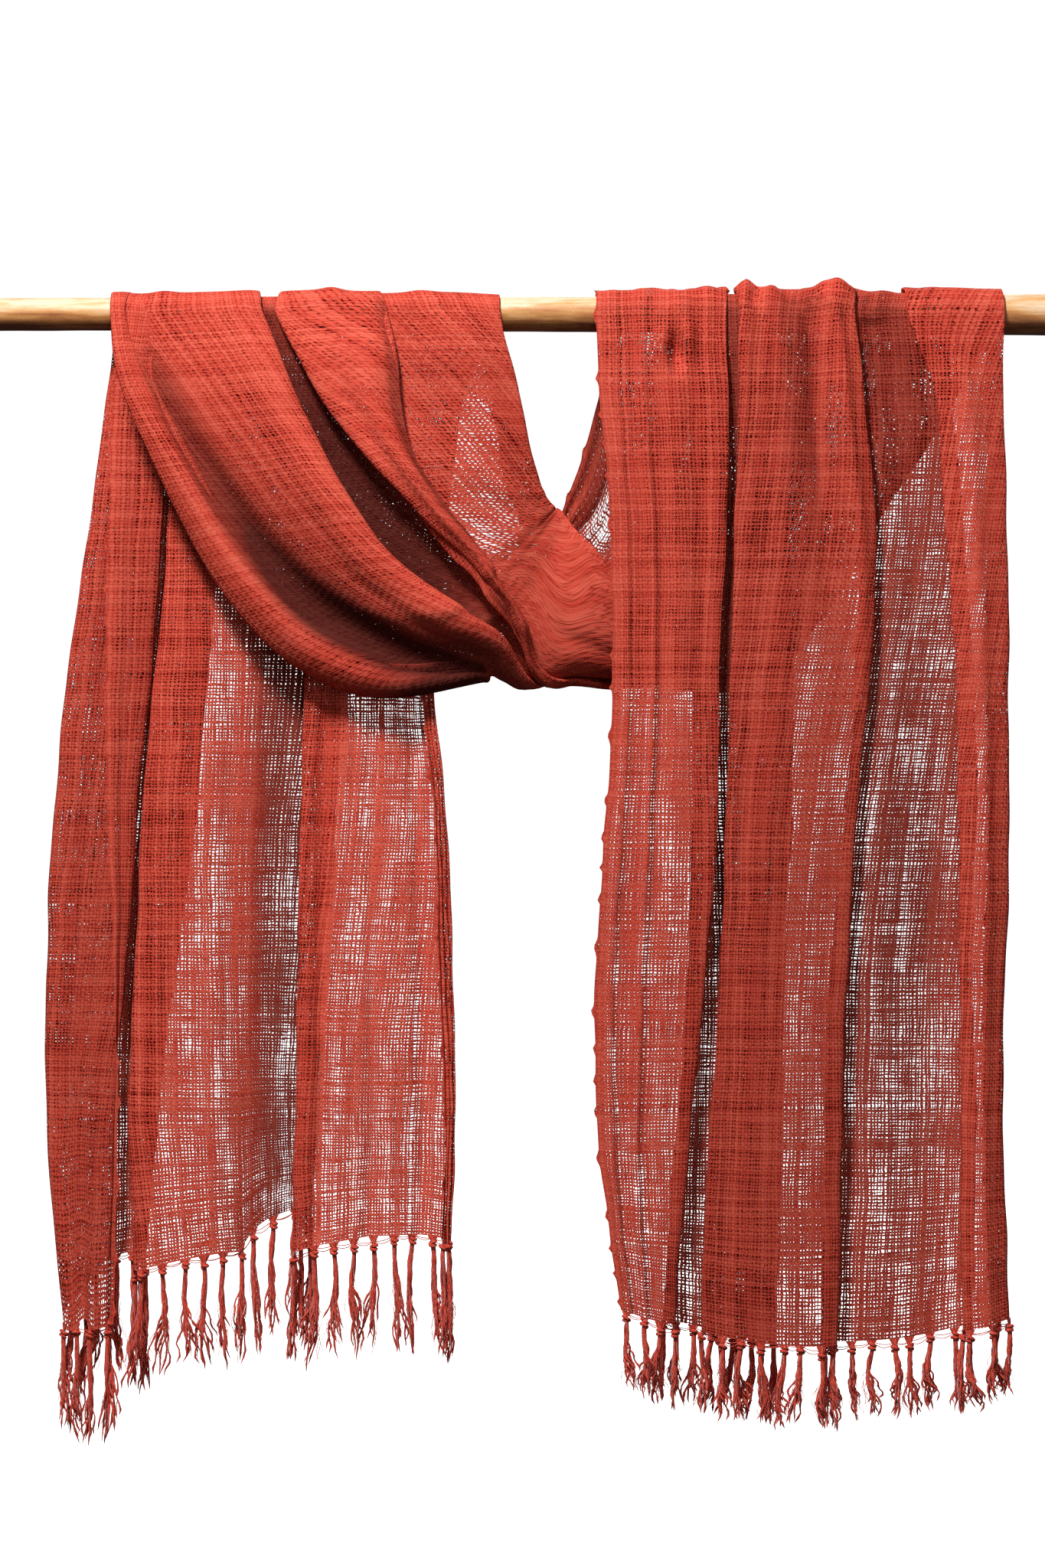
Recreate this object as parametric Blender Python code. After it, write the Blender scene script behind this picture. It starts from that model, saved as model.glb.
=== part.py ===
import math

import bmesh
import bpy
import numpy as np

# An open-weave scarf pleated lengthways and slung over a natural wooden rod.
# Lengths in the tables are millimetres.  +X runs along the rod, +Z is up and -Y is the front.
MM = 0.001
WALL = 1.2
SEAM_GAP = 0.3
ROD_START = -425.0
ROD_END = 425.0
ROD_MIDDLE_RADIUS = 12.1
ROD_TAPER = 0.0044
ROD_SWELL = 0.0000065
ROD_SIDES = 24
ROD_RINGS = 9
WRAP_STEP = 30
FOLD_ROUNDING = 7.0
LAYER_TILT = 0.1
TASSELS_PER_END = 32
STRIP_HEIGHT = 3.0
KNOT_DROP = 9.0
KNOT_HALF = 2.3
LEFT_TASSEL_LENGTH = 70.0
RIGHT_TASSEL_LENGTH = 50.0
STRAND_HALF = 1.1

for old in list(bpy.data.objects):
    bpy.data.objects.remove(old, do_unlink=True)


# Sixteen lines run the length of the cloth.  Thirteen are pleat folds or edges:
# edge, fold 1, fold 2, (soft line), fold 3, fold 4, (soft line), (soft line), fold 5,
# fold 6, fold 7, fold 8, fold 9, fold 10, fold 11, edge.
# Columns: place, height of the row, gap between layers, x of the sixteen lines.
LEFT_TAIL = (
    ("hem", -683, 15, (-286, -293, -322, -298, -265, -271, -208, -187, -148, -161, -123, -91, -50, -52, -54, -56)),
    ("low", -551, 13, (-282, -285, -334, -301, -254, -274, -208, -186, -143, -158, -121, -89, -46, -49, -52, -54)),
    ("knee", -445, 11, (-284, -275, -333, -295, -241, -270, -208, -185, -135, -157, -121, -89, -49, -52, -55, -58)),
    ("middle", -339, 9, (-289, -267, -326, -288, -227, -263, -209, -184, -130, -154, -121, -91, -53, -56, -59, -62)),
    ("waist", -249, 8, (-289, -258, -319, -282, -219, -256, -211, -184, -122, -152, -121, -94, -62, -65, -68, -70)),
    ("chest", -180, 7, (-289, -254, -308, -277, -213, -250, -213, -184, -136, -150, -118, -91, -55, -58, -61, -64)),
    ("shoulder", -111, 6, (-288, -248, -298, -272, -207, -244, -213, -182, -150, -141, -118, -91, -48, -51, -54, -58)),
    ("neck", -58, 4.5, (-286, -244, -291, -266, -195, -237, -208, -176, -139, -150, -118, -91, -40, -44, -47, -51)),
)
RIGHT_TAIL = (
    ("neck", -58, 5, (53, 74, 91, 115, 141, 117, 134, 155, 180, 148, 235, 220, 294, 283, 331, 318)),
    ("chest", -153, 7, (60, 81, 97, 118, 140, 118, 136, 160, 184, 145, 242, 230, 305, 290, 332, 319)),
    ("waist", -259, 8, (62, 81, 97, 117, 136, 117, 136, 160, 186, 142, 238, 229, 310, 296, 333, 319)),
    ("middle", -365, 9, (55, 76, 94, 114, 133, 117, 134, 158, 184, 139, 228, 220, 312, 299, 333, 319)),
    ("knee", -471, 9, (50, 70, 89, 107, 124, 112, 129, 152, 180, 133, 221, 211, 310, 299, 330, 317)),
    ("low", -577, 10, (52, 70, 86, 100, 114, 105, 123, 147, 179, 127, 219, 208, 311, 300, 329, 316)),
    ("hem", -694, 11, (68, 79, 89, 97, 105, 97, 115, 139, 174, 121, 216, 205, 310, 300, 333, 321)),
)
# The x of the sixteen lines where the cloth crosses the rod: behind it and in front of it.
LEFT_ROD_BACK = (-278, -244, -284, -261, -184, -223, -203, -176, -136, -163, -107, -97, -17, -23, -28, -33)
LEFT_ROD_FRONT = (-274, -248, -283, -278, -179, -208, -197, -176, -142, -170, -92, -107, -16, -23, -29, -36)
RIGHT_ROD = (51, 73, 89, 113, 141, 115, 131, 152, 174, 148, 228, 211, 274, 263, 331, 318)

# Height above the innermost layer, counted in layers, for the seventeen stretches between lines
# (a soft line carries its own height, a pleat fold steps from one stretch to the next).
LEFT_TAIL_LAYERS = {
    "hem": (1, 1, 2, 2, 2, 1, 0, 0.2, 1.8, 2, 1.1, 0.2, 0.3, 0.4, -0.4, -0.4, -0.4),
    "low": (0.5, 1, 2, 2, 2, 1, 0, 0.2, 1.8, 2, 1.1, 0.2, 0.3, 0.4, -0.4, -0.4, -0.4),
    "knee": (0.1, 1, 2, 2, 2, 1, 0, 0.2, 1.8, 2, 1.1, 0.2, 0.3, 0.4, -0.4, -0.4, -0.4),
    "middle": (0, 1, 2, 2, 2, 1, 0, 0.2, 1.8, 2, 1.1, 0.2, 0.3, 0.4, -0.4, -0.4, -0.4),
    "waist": (0, 1, 2, 2, 2, 1, 0, 0.2, 1.8, 2, 1.1, 0.2, 0.3, 0.4, -0.4, -0.4, -0.4),
    "chest": (0, 1, 2, 2, 2, 1, 0, 0.4, 1.5, 1.7, 1, 0.4, 0.4, 0.5, -0.3, -0.3, -0.3),
    "shoulder": (0, 1, 2, 2, 2, 1, 0, 0.6, 0.9, 1, 1, 1, 0.9, 0.8, 0, 0, 0),
    "neck": (0, 1, 2, 2, 2, 1, 0, 0.1, 0.3, 0.4, 1, 1.6, 1.3, 1, 0.2, 0.2, 0.2),
}
LEFT_BACK_LAYERS = (0, 1, 2, 2, 2, 1, 0, 0, 0, 0, 1, 2, 1.6, 1, 0, 0, 0)
SWAG_LAYERS = (0, 1, 2, 1, 2, 1, 0, 0, 0, 0, 1, 3, 2, 1, 0, 0, 0)
TAIL_LAYERS = (2, 2, 2, 2, 2, 1, 0, 0, 0, 0, 1, 2, 1, 0, 1, 2, 1)

# The cloth between its two places on the rod.  Each row is a cross-section: four points of the smooth curve that
# its innermost layer follows, the gap between layers, and how far along that curve, from 0 to 1,
# the sixteen lines sit.
# Columns: start point, second point, third point, end point, gap, sixteen places, layers.
SWAG = (
    ((-277, -13, -47), (-188, -15, -42), (-99, -15, -35), (-10, -13, -26), 4,
     (0.04, 0.09, 0, 0.097, 0.425, 0.3, 0.36, 0.44, 0.54, 0.474, 0.725, 0.66, 1, 0.98, 0.955, 0.93), SWAG_LAYERS),
    ((-256, -12, -95), (-171, -16, -84), (-86, -15, -70), (-2, -11, -56), 5.5,
     (0.04, 0.1, 0, 0.111, 0.436, 0.3, 0.37, 0.46, 0.57, 0.505, 0.685, 0.62, 1, 0.98, 0.95, 0.92), SWAG_LAYERS),
    ((-229, -11, -149), (-151, -15, -130), (-73, -14, -106), (4, -9, -82), 6.5,
     (0.04, 0.11, 0, 0.142, 0.454, 0.29, 0.38, 0.5, 0.62, 0.56, 0.675, 0.6, 1, 0.98, 0.945, 0.91), SWAG_LAYERS),
    ((-198, -9, -198), (-128, -13, -174), (-59, -11, -142), (10, -6, -110), 6.5,
     (0.04, 0.12, 0, 0.179, 0.483, 0.3, 0.4, 0.54, 0.68, 0.62, 0.705, 0.62, 1, 0.98, 0.94, 0.9), SWAG_LAYERS),
    ((-158, -8, -237), (-100, -10, -205), (-42, -8, -165), (15, -3, -124), 6,
     (0.05, 0.14, 0, 0.21, 0.496, 0.31, 0.4, 0.55, 0.7, 0.64, 0.71, 0.62, 1, 0.975, 0.93, 0.89), SWAG_LAYERS),
    ((-107, -7, -259), (-65, -8, -220), (-22, -5, -176), (20, -1, -132), 5.5,
     (0.05, 0.15, 0, 0.2, 0.464, 0.29, 0.38, 0.5, 0.67, 0.6, 0.67, 0.58, 1, 0.97, 0.92, 0.87), SWAG_LAYERS),
    ((-44, -5, -252), (-22, -3, -218), (4, 0, -177), (26, 1, -136), 4.5,
     (0.05, 0.14, 0, 0.09, 0.33, 0.19, 0.27, 0.36, 0.5, 0.44, 0.49, 0.4, 1, 0.97, 0.93, 0.88), SWAG_LAYERS),
    ((-23, 20, -226), (-17, 24, -268), (12, 0, -226), (37, 0, -148), 4,
     (0.04, 0.12, 0.02, 0.12, 0.37, 0.22, 0.29, 0.36, 0.5, 0.43, 0.5, 0.42, 1, 0.975, 0.943, 0.91), SWAG_LAYERS),
    ((3, 38, -172), (9, 42, -258), (33, 0, -262), (49, -2, -160), 4,
     (0.04, 0.09, 0.06, 0.14, 0.4, 0.26, 0.31, 0.37, 0.5, 0.42, 0.52, 0.44, 1, 0.98, 0.955, 0.93), SWAG_LAYERS),
    ((26, 38, -138), (49, 50, -250), (89, 14, -284), (89, 0, -201), 4,
     (0, 0.05, 0.09, 0.17, 0.4, 0.27, 0.32, 0.38, 0.5, 0.4, 0.58, 0.49, 0.95, 0.965, 0.98, 1),
     (0.8, 1.4, 2, 1.8, 2, 1, 0, 0, 0, 0, 1, 3, 2, 1, 0.7, 0.4, 0.2)),
    ((41, 34, -100), (78, 46, -206), (115, 38, -280), (150, 12, -250), 4.5,
     (0, 0.07, 0.13, 0.2, 0.37, 0.26, 0.31, 0.37, 0.47, 0.37, 0.62, 0.54, 0.88, 0.92, 0.96, 1),
     (2, 2, 2, 2, 2, 1, 0, 0, 0, 0, 1, 2.4, 1.4, 0.5, 0.8, 1.1, 1.1)),
    ((54, 26, -50), (99, 36, -121), (160, 34, -206), (211, 16, -206), 4.5,
     (0, 0.078, 0.134, 0.22, 0.34, 0.24, 0.29, 0.36, 0.45, 0.36, 0.63, 0.56, 0.83, 0.815, 0.98, 0.99),
     (2, 2, 2, 2, 2, 1, 0, 0, 0, 0, 1, 2, 1, 0.2, 1, 1.8, 1.2)),
)
RISE = (
    ((55, 19, -26), (115, 27, -68), (195, 27, -127), (256, 17, -129), 4,
     (0, 0.078, 0.134, 0.22, 0.33, 0.235, 0.287, 0.36, 0.44, 0.35, 0.632, 0.57, 0.81, 0.77, 1, 0.965), TAIL_LAYERS),
    ((54, 15, -9), (142, 19, -26), (227, 20, -58), (298, 16, -63), 3,
     (0, 0.078, 0.134, 0.22, 0.325, 0.23, 0.286, 0.36, 0.4375, 0.347, 0.632, 0.57, 0.8, 0.757, 1, 0.955), TAIL_LAYERS),
)


def rod_radius(x):
    return ROD_MIDDLE_RADIUS + ROD_TAPER * x + ROD_SWELL * x * x


def make_row(carrier, gap, places, layers):
    # One cross-section as a flat list of numbers, so that sections blend into one another.
    carrier = np.asarray(carrier, float)
    return np.concatenate((carrier.ravel(), (gap,), places, layers))


def straight_row(start_x, end_x, depth, heights, gap, lines, layers):
    # A section that runs straight across at one depth: places are shares of its width.
    xs = start_x + (end_x - start_x) * np.linspace(0.0, 1.0, 4)
    carrier = np.column_stack((xs, np.broadcast_to(depth, 4), np.broadcast_to(heights, 4)))
    places = (np.asarray(lines, float) - start_x) / (end_x - start_x)
    return make_row(carrier, gap, places, layers)


def wrap_rows(back_lines, front_lines, back_layers, front_layers):
    # The cloth goes over the rod from its back (angle 0) by its top (90) to its front (180).
    rows = []
    stretch = 1.0 / math.cos(math.radians(WRAP_STEP / 2))
    for angle in range(0, 181, WRAP_STEP):
        share = angle / 180
        lines = np.asarray(back_lines) * (1 - share) + np.asarray(front_lines) * share
        layers = np.asarray(back_layers) * (1 - share) + np.asarray(front_layers) * share
        start_x = lines.min()
        end_x = lines.max()
        xs = np.linspace(start_x, end_x, 4)
        radius = (rod_radius(xs) + SEAM_GAP) * stretch + WALL / 2
        depth = radius * math.cos(math.radians(angle))
        heights = radius * math.sin(math.radians(angle))
        rows.append(straight_row(start_x, end_x, depth, heights, 2.0, lines, layers))
    return rows


def between(rows, steps):
    # Blends each row into the next with a smooth curve through all of them.
    rows = np.asarray(rows)
    last = len(rows) - 1
    blended = []
    for index in range(last):
        before = rows[max(index - 1, 0)]
        here = rows[index]
        after = rows[index + 1]
        beyond = rows[min(index + 2, last)]
        for step in range(steps):
            t = step / steps
            slope_in = (after - before) / 2
            slope_out = (beyond - here) / 2
            blended.append(
                (2 * t**3 - 3 * t**2 + 1) * here
                + (t**3 - 2 * t**2 + t) * slope_in
                + (3 * t**2 - 2 * t**3) * after
                + (t**3 - t**2) * slope_out
            )
    blended.append(rows[last])
    return blended


def bezier(points, places):
    places = places[:, None]
    rest = 1 - places
    return (
        rest**3 * points[0]
        + 3 * rest**2 * places * points[1]
        + 3 * rest * places**2 * points[2]
        + places**3 * points[3]
    )


def section_outline(row):
    # The pleated line of one section as (place, layer) pairs.  Two corner points stand at each
    # fold and two more stand a little way in, and the line joins the middles of that polygon.
    carrier = row[:12].reshape(4, 3)
    places = row[13:29]
    layers = row[29:46]
    width = np.linalg.norm(np.diff(carrier, axis=0), axis=1).sum()
    rounding = FOLD_ROUNDING / width
    soft = {3: (3,), 6: (7, 8)}
    corners = []
    stretches = (
        (0, 1, 0, 0), (1, 2, 1, 1), (2, 4, 2, 4), (4, 5, 5, 5), (5, 8, 6, 9), (8, 9, 10, 10), (9, 10, 11, 11),
        (10, 11, 12, 12), (11, 12, 13, 13), (12, 13, 14, 14), (13, 14, 15, 15), (14, 15, 16, 16),
    )
    middles = {2: ((3, 3),), 5: ((6, 7), (7, 8))}
    for number, (first, last, level_in, level_out) in enumerate(stretches):
        start = places[first]
        end = places[last]
        inset = math.copysign(min(rounding, 0.25 * abs(end - start)), end - start)
        level_before = layers[stretches[max(number - 1, 0)][3]]
        level_after = layers[stretches[min(number + 1, len(stretches) - 1)][2]]
        tilt = LAYER_TILT * (level_after - level_before) / 2
        corners.append((start, layers[level_in]))
        corners.append((start + inset, layers[level_in] - tilt))
        corners.extend((places[line], layers[level]) for line, level in middles.get(first, ()))
        corners.append((end - inset, layers[level_out] + tilt))
        corners.append((end, layers[level_out]))
    corners = np.asarray(corners)
    return np.vstack((corners[:1], (corners[1:] + corners[:-1]) / 2, corners[-1:]))


def cloth_grid(rows):
    # Middle surface of the cloth and its outward directions, row by row.
    rows = np.asarray(rows)
    last = len(rows) - 1
    points = []
    for index, row in enumerate(rows):
        outline = section_outline(row)
        places = outline[:, 0]
        carrier = row[:12].reshape(4, 3)
        base = bezier(carrier, places)
        across = bezier(carrier, places + 0.001) - bezier(carrier, places - 0.001)
        ahead = bezier(rows[min(index + 1, last)][:12].reshape(4, 3), places)
        behind = bezier(rows[max(index - 1, 0)][:12].reshape(4, 3), places)
        outward = np.cross(ahead - behind, across)
        outward /= np.linalg.norm(outward, axis=1)[:, None]
        points.append(base + outward * (outline[:, 1] * row[12])[:, None])
    points = np.asarray(points)
    along = np.gradient(points, axis=0)
    across = np.gradient(points, axis=1)
    outward = np.cross(along, across)
    outward /= np.maximum(np.linalg.norm(outward, axis=2), 1e-9)[:, :, None]
    ahead = np.cross(across, outward)
    ahead /= np.maximum(np.linalg.norm(ahead, axis=2), 1e-9)[:, :, None]
    return points, outward, ahead


def make_material(name, color, roughness, metallic):
    material = bpy.data.materials.new(name)
    material.use_nodes = True
    shader = material.node_tree.nodes["Principled BSDF"]
    shader.inputs["Base Color"].default_value = (*color, 1)
    shader.inputs["Roughness"].default_value = roughness
    shader.inputs["Metallic"].default_value = metallic
    return material


def make_object(name, vertices, faces, material):
    mesh = bpy.data.meshes.new(name)
    mesh.from_pydata([tuple(float(value) * MM for value in vertex) for vertex in vertices], [], faces)
    editor = bmesh.new()
    editor.from_mesh(mesh)
    bmesh.ops.recalc_face_normals(editor, faces=editor.faces)
    editor.to_mesh(mesh)
    editor.free()
    for polygon in mesh.polygons:
        polygon.use_smooth = True
    mesh.materials.append(material)
    item = bpy.data.objects.new(name, mesh)
    bpy.context.collection.objects.link(item)
    return item


def make_cloth(name, points, outward, material):
    # A closed wall: the outer face, the inner face and a rim round them.
    rows, columns, _ = points.shape
    outer = points + outward * (WALL / 2)
    inner = points - outward * (WALL / 2)
    vertices = np.vstack((outer.reshape(-1, 3), inner.reshape(-1, 3)))
    count = rows * columns
    faces = []
    for row in range(rows - 1):
        for column in range(columns - 1):
            corner = row * columns + column
            quad = (corner, corner + 1, corner + columns + 1, corner + columns)
            faces.append(quad)
            faces.append(tuple(index + count for index in reversed(quad)))
    rim = [column for column in range(columns)]
    rim += [row * columns + columns - 1 for row in range(1, rows)]
    rim += [(rows - 1) * columns + column for column in range(columns - 2, -1, -1)]
    rim += [row * columns for row in range(rows - 2, 0, -1)]
    for here, following in zip(rim, rim[1:] + rim[:1]):
        faces.append((following, here, here + count, following + count))
    return make_object(name, vertices, faces, material)


def path_at(points, distances):
    # Points at given distances along a broken line.
    steps = np.linalg.norm(np.diff(points, axis=0), axis=1)
    travelled = np.concatenate(((0.0,), np.cumsum(steps)))
    return np.column_stack([np.interp(distances, travelled, points[:, axis]) for axis in range(3)])


def make_fringe(name, hem_points, hem_outward, tassel_length, material):
    # A narrow strip just under the hem.  Each tassel leaves it as one block of two cells,
    # thickens to a knot and parts into two strands that splay as they fall.
    steps = np.linalg.norm(np.diff(hem_points, axis=0), axis=1)
    length = steps.sum()
    pitch = length / TASSELS_PER_END
    stops = []
    for tassel in range(TASSELS_PER_END):
        middle = (tassel + 0.5) * pitch
        stops.extend((middle - 2.4, middle, middle + 2.4))
    stops = np.concatenate(((0.3,), stops, (length - 0.3,)))
    centre = path_at(hem_points, stops)
    travelled = np.concatenate(((0.0,), np.cumsum(steps)))
    outward = np.column_stack([np.interp(stops, travelled, hem_outward[:, axis]) for axis in range(3)])
    outward[:, 2] = 0
    outward /= np.linalg.norm(outward, axis=1)[:, None]
    vertices = []
    faces = []
    for side in (1, -1):
        for drop in (SEAM_GAP, SEAM_GAP + STRIP_HEIGHT):
            for point, away in zip(centre, outward):
                vertices.append(point + away * side * WALL / 2 - np.array((0, 0, drop)))
    count = len(stops)
    front_top = 0
    front_low = count
    back_top = 2 * count
    back_low = 3 * count
    block_starts = {1 + 3 * tassel for tassel in range(TASSELS_PER_END)}
    cells = block_starts | {start + 1 for start in block_starts}
    for column in range(count - 1):
        faces.append((front_top + column, front_top + column + 1, front_low + column + 1, front_low + column))
        faces.append((back_top + column, back_low + column, back_low + column + 1, back_top + column + 1))
        faces.append((front_top + column, back_top + column, back_top + column + 1, front_top + column + 1))
        if column not in cells:
            faces.append((front_low + column, front_low + column + 1, back_low + column + 1, back_low + column))
    for column in (0, count - 1):
        faces.append((front_top + column, front_low + column, back_low + column, back_top + column))
    for tassel, start in enumerate(sorted(block_starts)):
        root = centre[start + 1] - np.array((0, 0, SEAM_GAP + STRIP_HEIGHT))
        sideways = centre[start + 2] - centre[start]
        sideways[2] = 0
        sideways /= np.linalg.norm(sideways)
        away = outward[start + 1]
        swing = math.sin(tassel * 2.4) * 3.0
        knot = root - np.array((0, 0, KNOT_DROP))
        knot_ring = []
        for side in (1, -1):
            for shift in (-1, 0, 1):
                vertices.append(knot + sideways * shift * KNOT_HALF + away * side * KNOT_HALF)
                knot_ring.append(len(vertices) - 1)
        front = [front_low + start + step for step in range(3)]
        back = [back_low + start + step for step in range(3)]
        knot_front = knot_ring[:3]
        knot_back = knot_ring[3:]
        for step in range(2):
            faces.append((front[step], front[step + 1], knot_front[step + 1], knot_front[step]))
            faces.append((back[step + 1], back[step], knot_back[step], knot_back[step + 1]))
        faces.append((front[0], knot_front[0], knot_back[0], back[0]))
        faces.append((front[2], back[2], knot_back[2], knot_front[2]))
        for cell, lean in ((0, -1), (1, 1)):
            ring = [knot_front[cell], knot_front[cell + 1], knot_back[cell + 1], knot_back[cell]]
            for share, size, spread in ((0.3, STRAND_HALF, 2.6), (1.0, STRAND_HALF * 0.7, 4.5)):
                drop = KNOT_DROP + share * (tassel_length - KNOT_DROP)
                axis_point = root + sideways * (lean * spread * 0.8 + swing * share * 0.5)
                axis_point = axis_point - np.array((0, 0, drop))
                fresh = []
                for across, depth in ((-1, 1), (1, 1), (1, -1), (-1, -1)):
                    vertices.append(axis_point + sideways * across * size + away * depth * size)
                    fresh.append(len(vertices) - 1)
                for step in range(4):
                    following = (step + 1) % 4
                    faces.append((ring[step], ring[following], fresh[following], fresh[step]))
                ring = fresh
            faces.append(tuple(ring))
    return make_object(name, vertices, faces, material)


def make_rod(material):
    # A slowly tapering round stick with plainly cut ends.
    vertices = []
    faces = []
    stations = np.linspace(ROD_START, ROD_END, ROD_RINGS)
    for x in stations:
        for side in range(ROD_SIDES):
            angle = 2 * math.pi * side / ROD_SIDES
            radius = rod_radius(x)
            vertices.append((x, radius * math.cos(angle), radius * math.sin(angle)))
    for ring in range(ROD_RINGS - 1):
        for side in range(ROD_SIDES):
            following = (side + 1) % ROD_SIDES
            low = ring * ROD_SIDES
            high = low + ROD_SIDES
            faces.append((low + side, low + following, high + following, high + side))
    faces.append(tuple(range(ROD_SIDES)))
    faces.append(tuple(range(len(vertices) - ROD_SIDES, len(vertices))))
    return make_object("rod", vertices, faces, material)


def tail_rows(table, layers_of, depth, hem_heights):
    rows = []
    for place, height, gap, lines in table:
        heights = hem_heights if place == "hem" else height
        rows.append(straight_row(min(lines), max(lines), depth[place], heights, gap, lines, layers_of[place]))
    return rows


LEFT_DEPTH = {"hem": 5, "low": 6, "knee": 7, "middle": 8, "waist": 8, "chest": 9, "shoulder": 10, "neck": 12}
RIGHT_DEPTH = {"neck": -13, "chest": -12, "waist": -12, "middle": -11, "knee": -10, "low": -9, "hem": -8}
LEFT_HEM_HEIGHTS = (-699, -678, -620, -637)
RIGHT_HEM_HEIGHTS = (-684, -714, -718, -690)

left_rows = tail_rows(LEFT_TAIL, LEFT_TAIL_LAYERS, LEFT_DEPTH, LEFT_HEM_HEIGHTS)
left_wrap = wrap_rows(LEFT_ROD_BACK, LEFT_ROD_FRONT, LEFT_BACK_LAYERS, SWAG_LAYERS)
swag_rows = [make_row(row[:4], row[4], row[5], row[6]) for row in SWAG]
rise_rows = [make_row(row[:4], row[4], row[5], row[6]) for row in RISE]
right_wrap = wrap_rows(RIGHT_ROD, RIGHT_ROD, TAIL_LAYERS, TAIL_LAYERS)
right_layers = {row[0]: TAIL_LAYERS for row in RIGHT_TAIL}
right_rows = tail_rows(RIGHT_TAIL, right_layers, RIGHT_DEPTH, RIGHT_HEM_HEIGHTS)

# All the sections from the left hem to the right hem, with extra ones where the cloth bends.
lead_in = left_rows + left_wrap[:1]
middle_span = left_wrap[-1:] + swag_rows + rise_rows + right_wrap[:1]
lead_out = right_wrap[-1:] + right_rows
all_rows = lead_in[:-1] + left_wrap[:-1] + between(middle_span, 2)[:-1] + right_wrap[:-1] + lead_out
grid, outward, ahead = cloth_grid(all_rows)

left_seam = len(left_rows) + 3
rise_seam = len(left_rows) + 6 + 2 * (1 + len(swag_rows))
right_seam = rise_seam + 2 * len(rise_rows) + 3
seams = (0, left_seam, rise_seam, right_seam, len(all_rows) - 1)

weave = make_material("red_gauze", (0.42, 0.047, 0.027), 0.85, 0.0)
yarn = make_material("red_yarn", (0.40, 0.05, 0.03), 0.9, 0.0)
wood = make_material("peeled_wood", (0.36, 0.19, 0.08), 0.6, 0.0)

for name, first, last in zip(("left_tail", "swag", "right_rise", "right_tail"), seams, seams[1:]):
    points = grid[first : last + 1].copy()
    if first > 0:
        points[0] += ahead[first] * SEAM_GAP / 2
    if last < len(all_rows) - 1:
        points[-1] -= ahead[last] * SEAM_GAP / 2
    make_cloth(name, points, outward[first : last + 1], weave)

make_fringe("left_fringe", grid[0], outward[0], LEFT_TASSEL_LENGTH, yarn)
make_fringe("right_fringe", grid[-1], outward[-1], RIGHT_TASSEL_LENGTH, yarn)
make_rod(wood)
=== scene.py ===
import math

import bpy
import numpy as np
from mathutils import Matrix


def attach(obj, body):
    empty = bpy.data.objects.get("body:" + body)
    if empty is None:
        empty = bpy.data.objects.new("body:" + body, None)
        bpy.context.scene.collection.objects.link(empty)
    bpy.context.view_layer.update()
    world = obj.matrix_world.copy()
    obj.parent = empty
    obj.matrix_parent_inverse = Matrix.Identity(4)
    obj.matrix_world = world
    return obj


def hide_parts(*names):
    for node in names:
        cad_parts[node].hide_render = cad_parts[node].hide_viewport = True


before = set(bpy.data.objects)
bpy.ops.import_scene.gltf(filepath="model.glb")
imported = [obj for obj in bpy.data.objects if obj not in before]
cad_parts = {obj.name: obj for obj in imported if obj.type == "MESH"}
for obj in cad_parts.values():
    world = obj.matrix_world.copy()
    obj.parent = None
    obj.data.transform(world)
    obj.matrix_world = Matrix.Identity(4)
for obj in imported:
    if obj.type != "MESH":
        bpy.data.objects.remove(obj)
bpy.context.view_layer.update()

mm = 0.001
seed = 7

# Sixteen lines run the length of the cloth: edge, fold 1, fold 2, soft line, fold 3, fold 4,
# soft line, soft line, fold 5 to fold 11, edge.  Lengths in the tables are millimetres.
# Columns: height of the row, depth, gap between layers, x of the sixteen lines.
leftTail = {
    "hem": (-683, 5, 15,
        (-286, -293, -322, -298, -265, -271, -208, -187, -148, -161, -123, -91, -50, -52, -54, -56)),
    "low": (-551, 6, 13,
        (-282, -285, -334, -301, -254, -274, -208, -186, -143, -158, -121, -89, -46, -49, -52, -54)),
    "knee": (-445, 7, 11,
        (-284, -275, -333, -295, -241, -270, -208, -185, -135, -157, -121, -89, -49, -52, -55, -58)),
    "middle": (-339, 8, 9,
        (-289, -267, -326, -288, -227, -263, -209, -184, -130, -154, -121, -91, -53, -56, -59, -62)),
    "waist": (-249, 8, 8,
        (-289, -258, -319, -282, -219, -256, -211, -184, -122, -152, -121, -94, -62, -65, -68, -70)),
    "chest": (-180, 9, 7,
        (-289, -254, -308, -277, -213, -250, -213, -184, -136, -150, -118, -91, -55, -58, -61, -64)),
    "shoulder": (-111, 10, 6,
        (-288, -248, -298, -272, -207, -244, -213, -182, -150, -141, -118, -91, -48, -51, -54, -58)),
    "neck": (-58, 12, 4.5,
        (-286, -244, -291, -266, -195, -237, -208, -176, -139, -150, -118, -91, -40, -44, -47, -51)),
}
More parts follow.
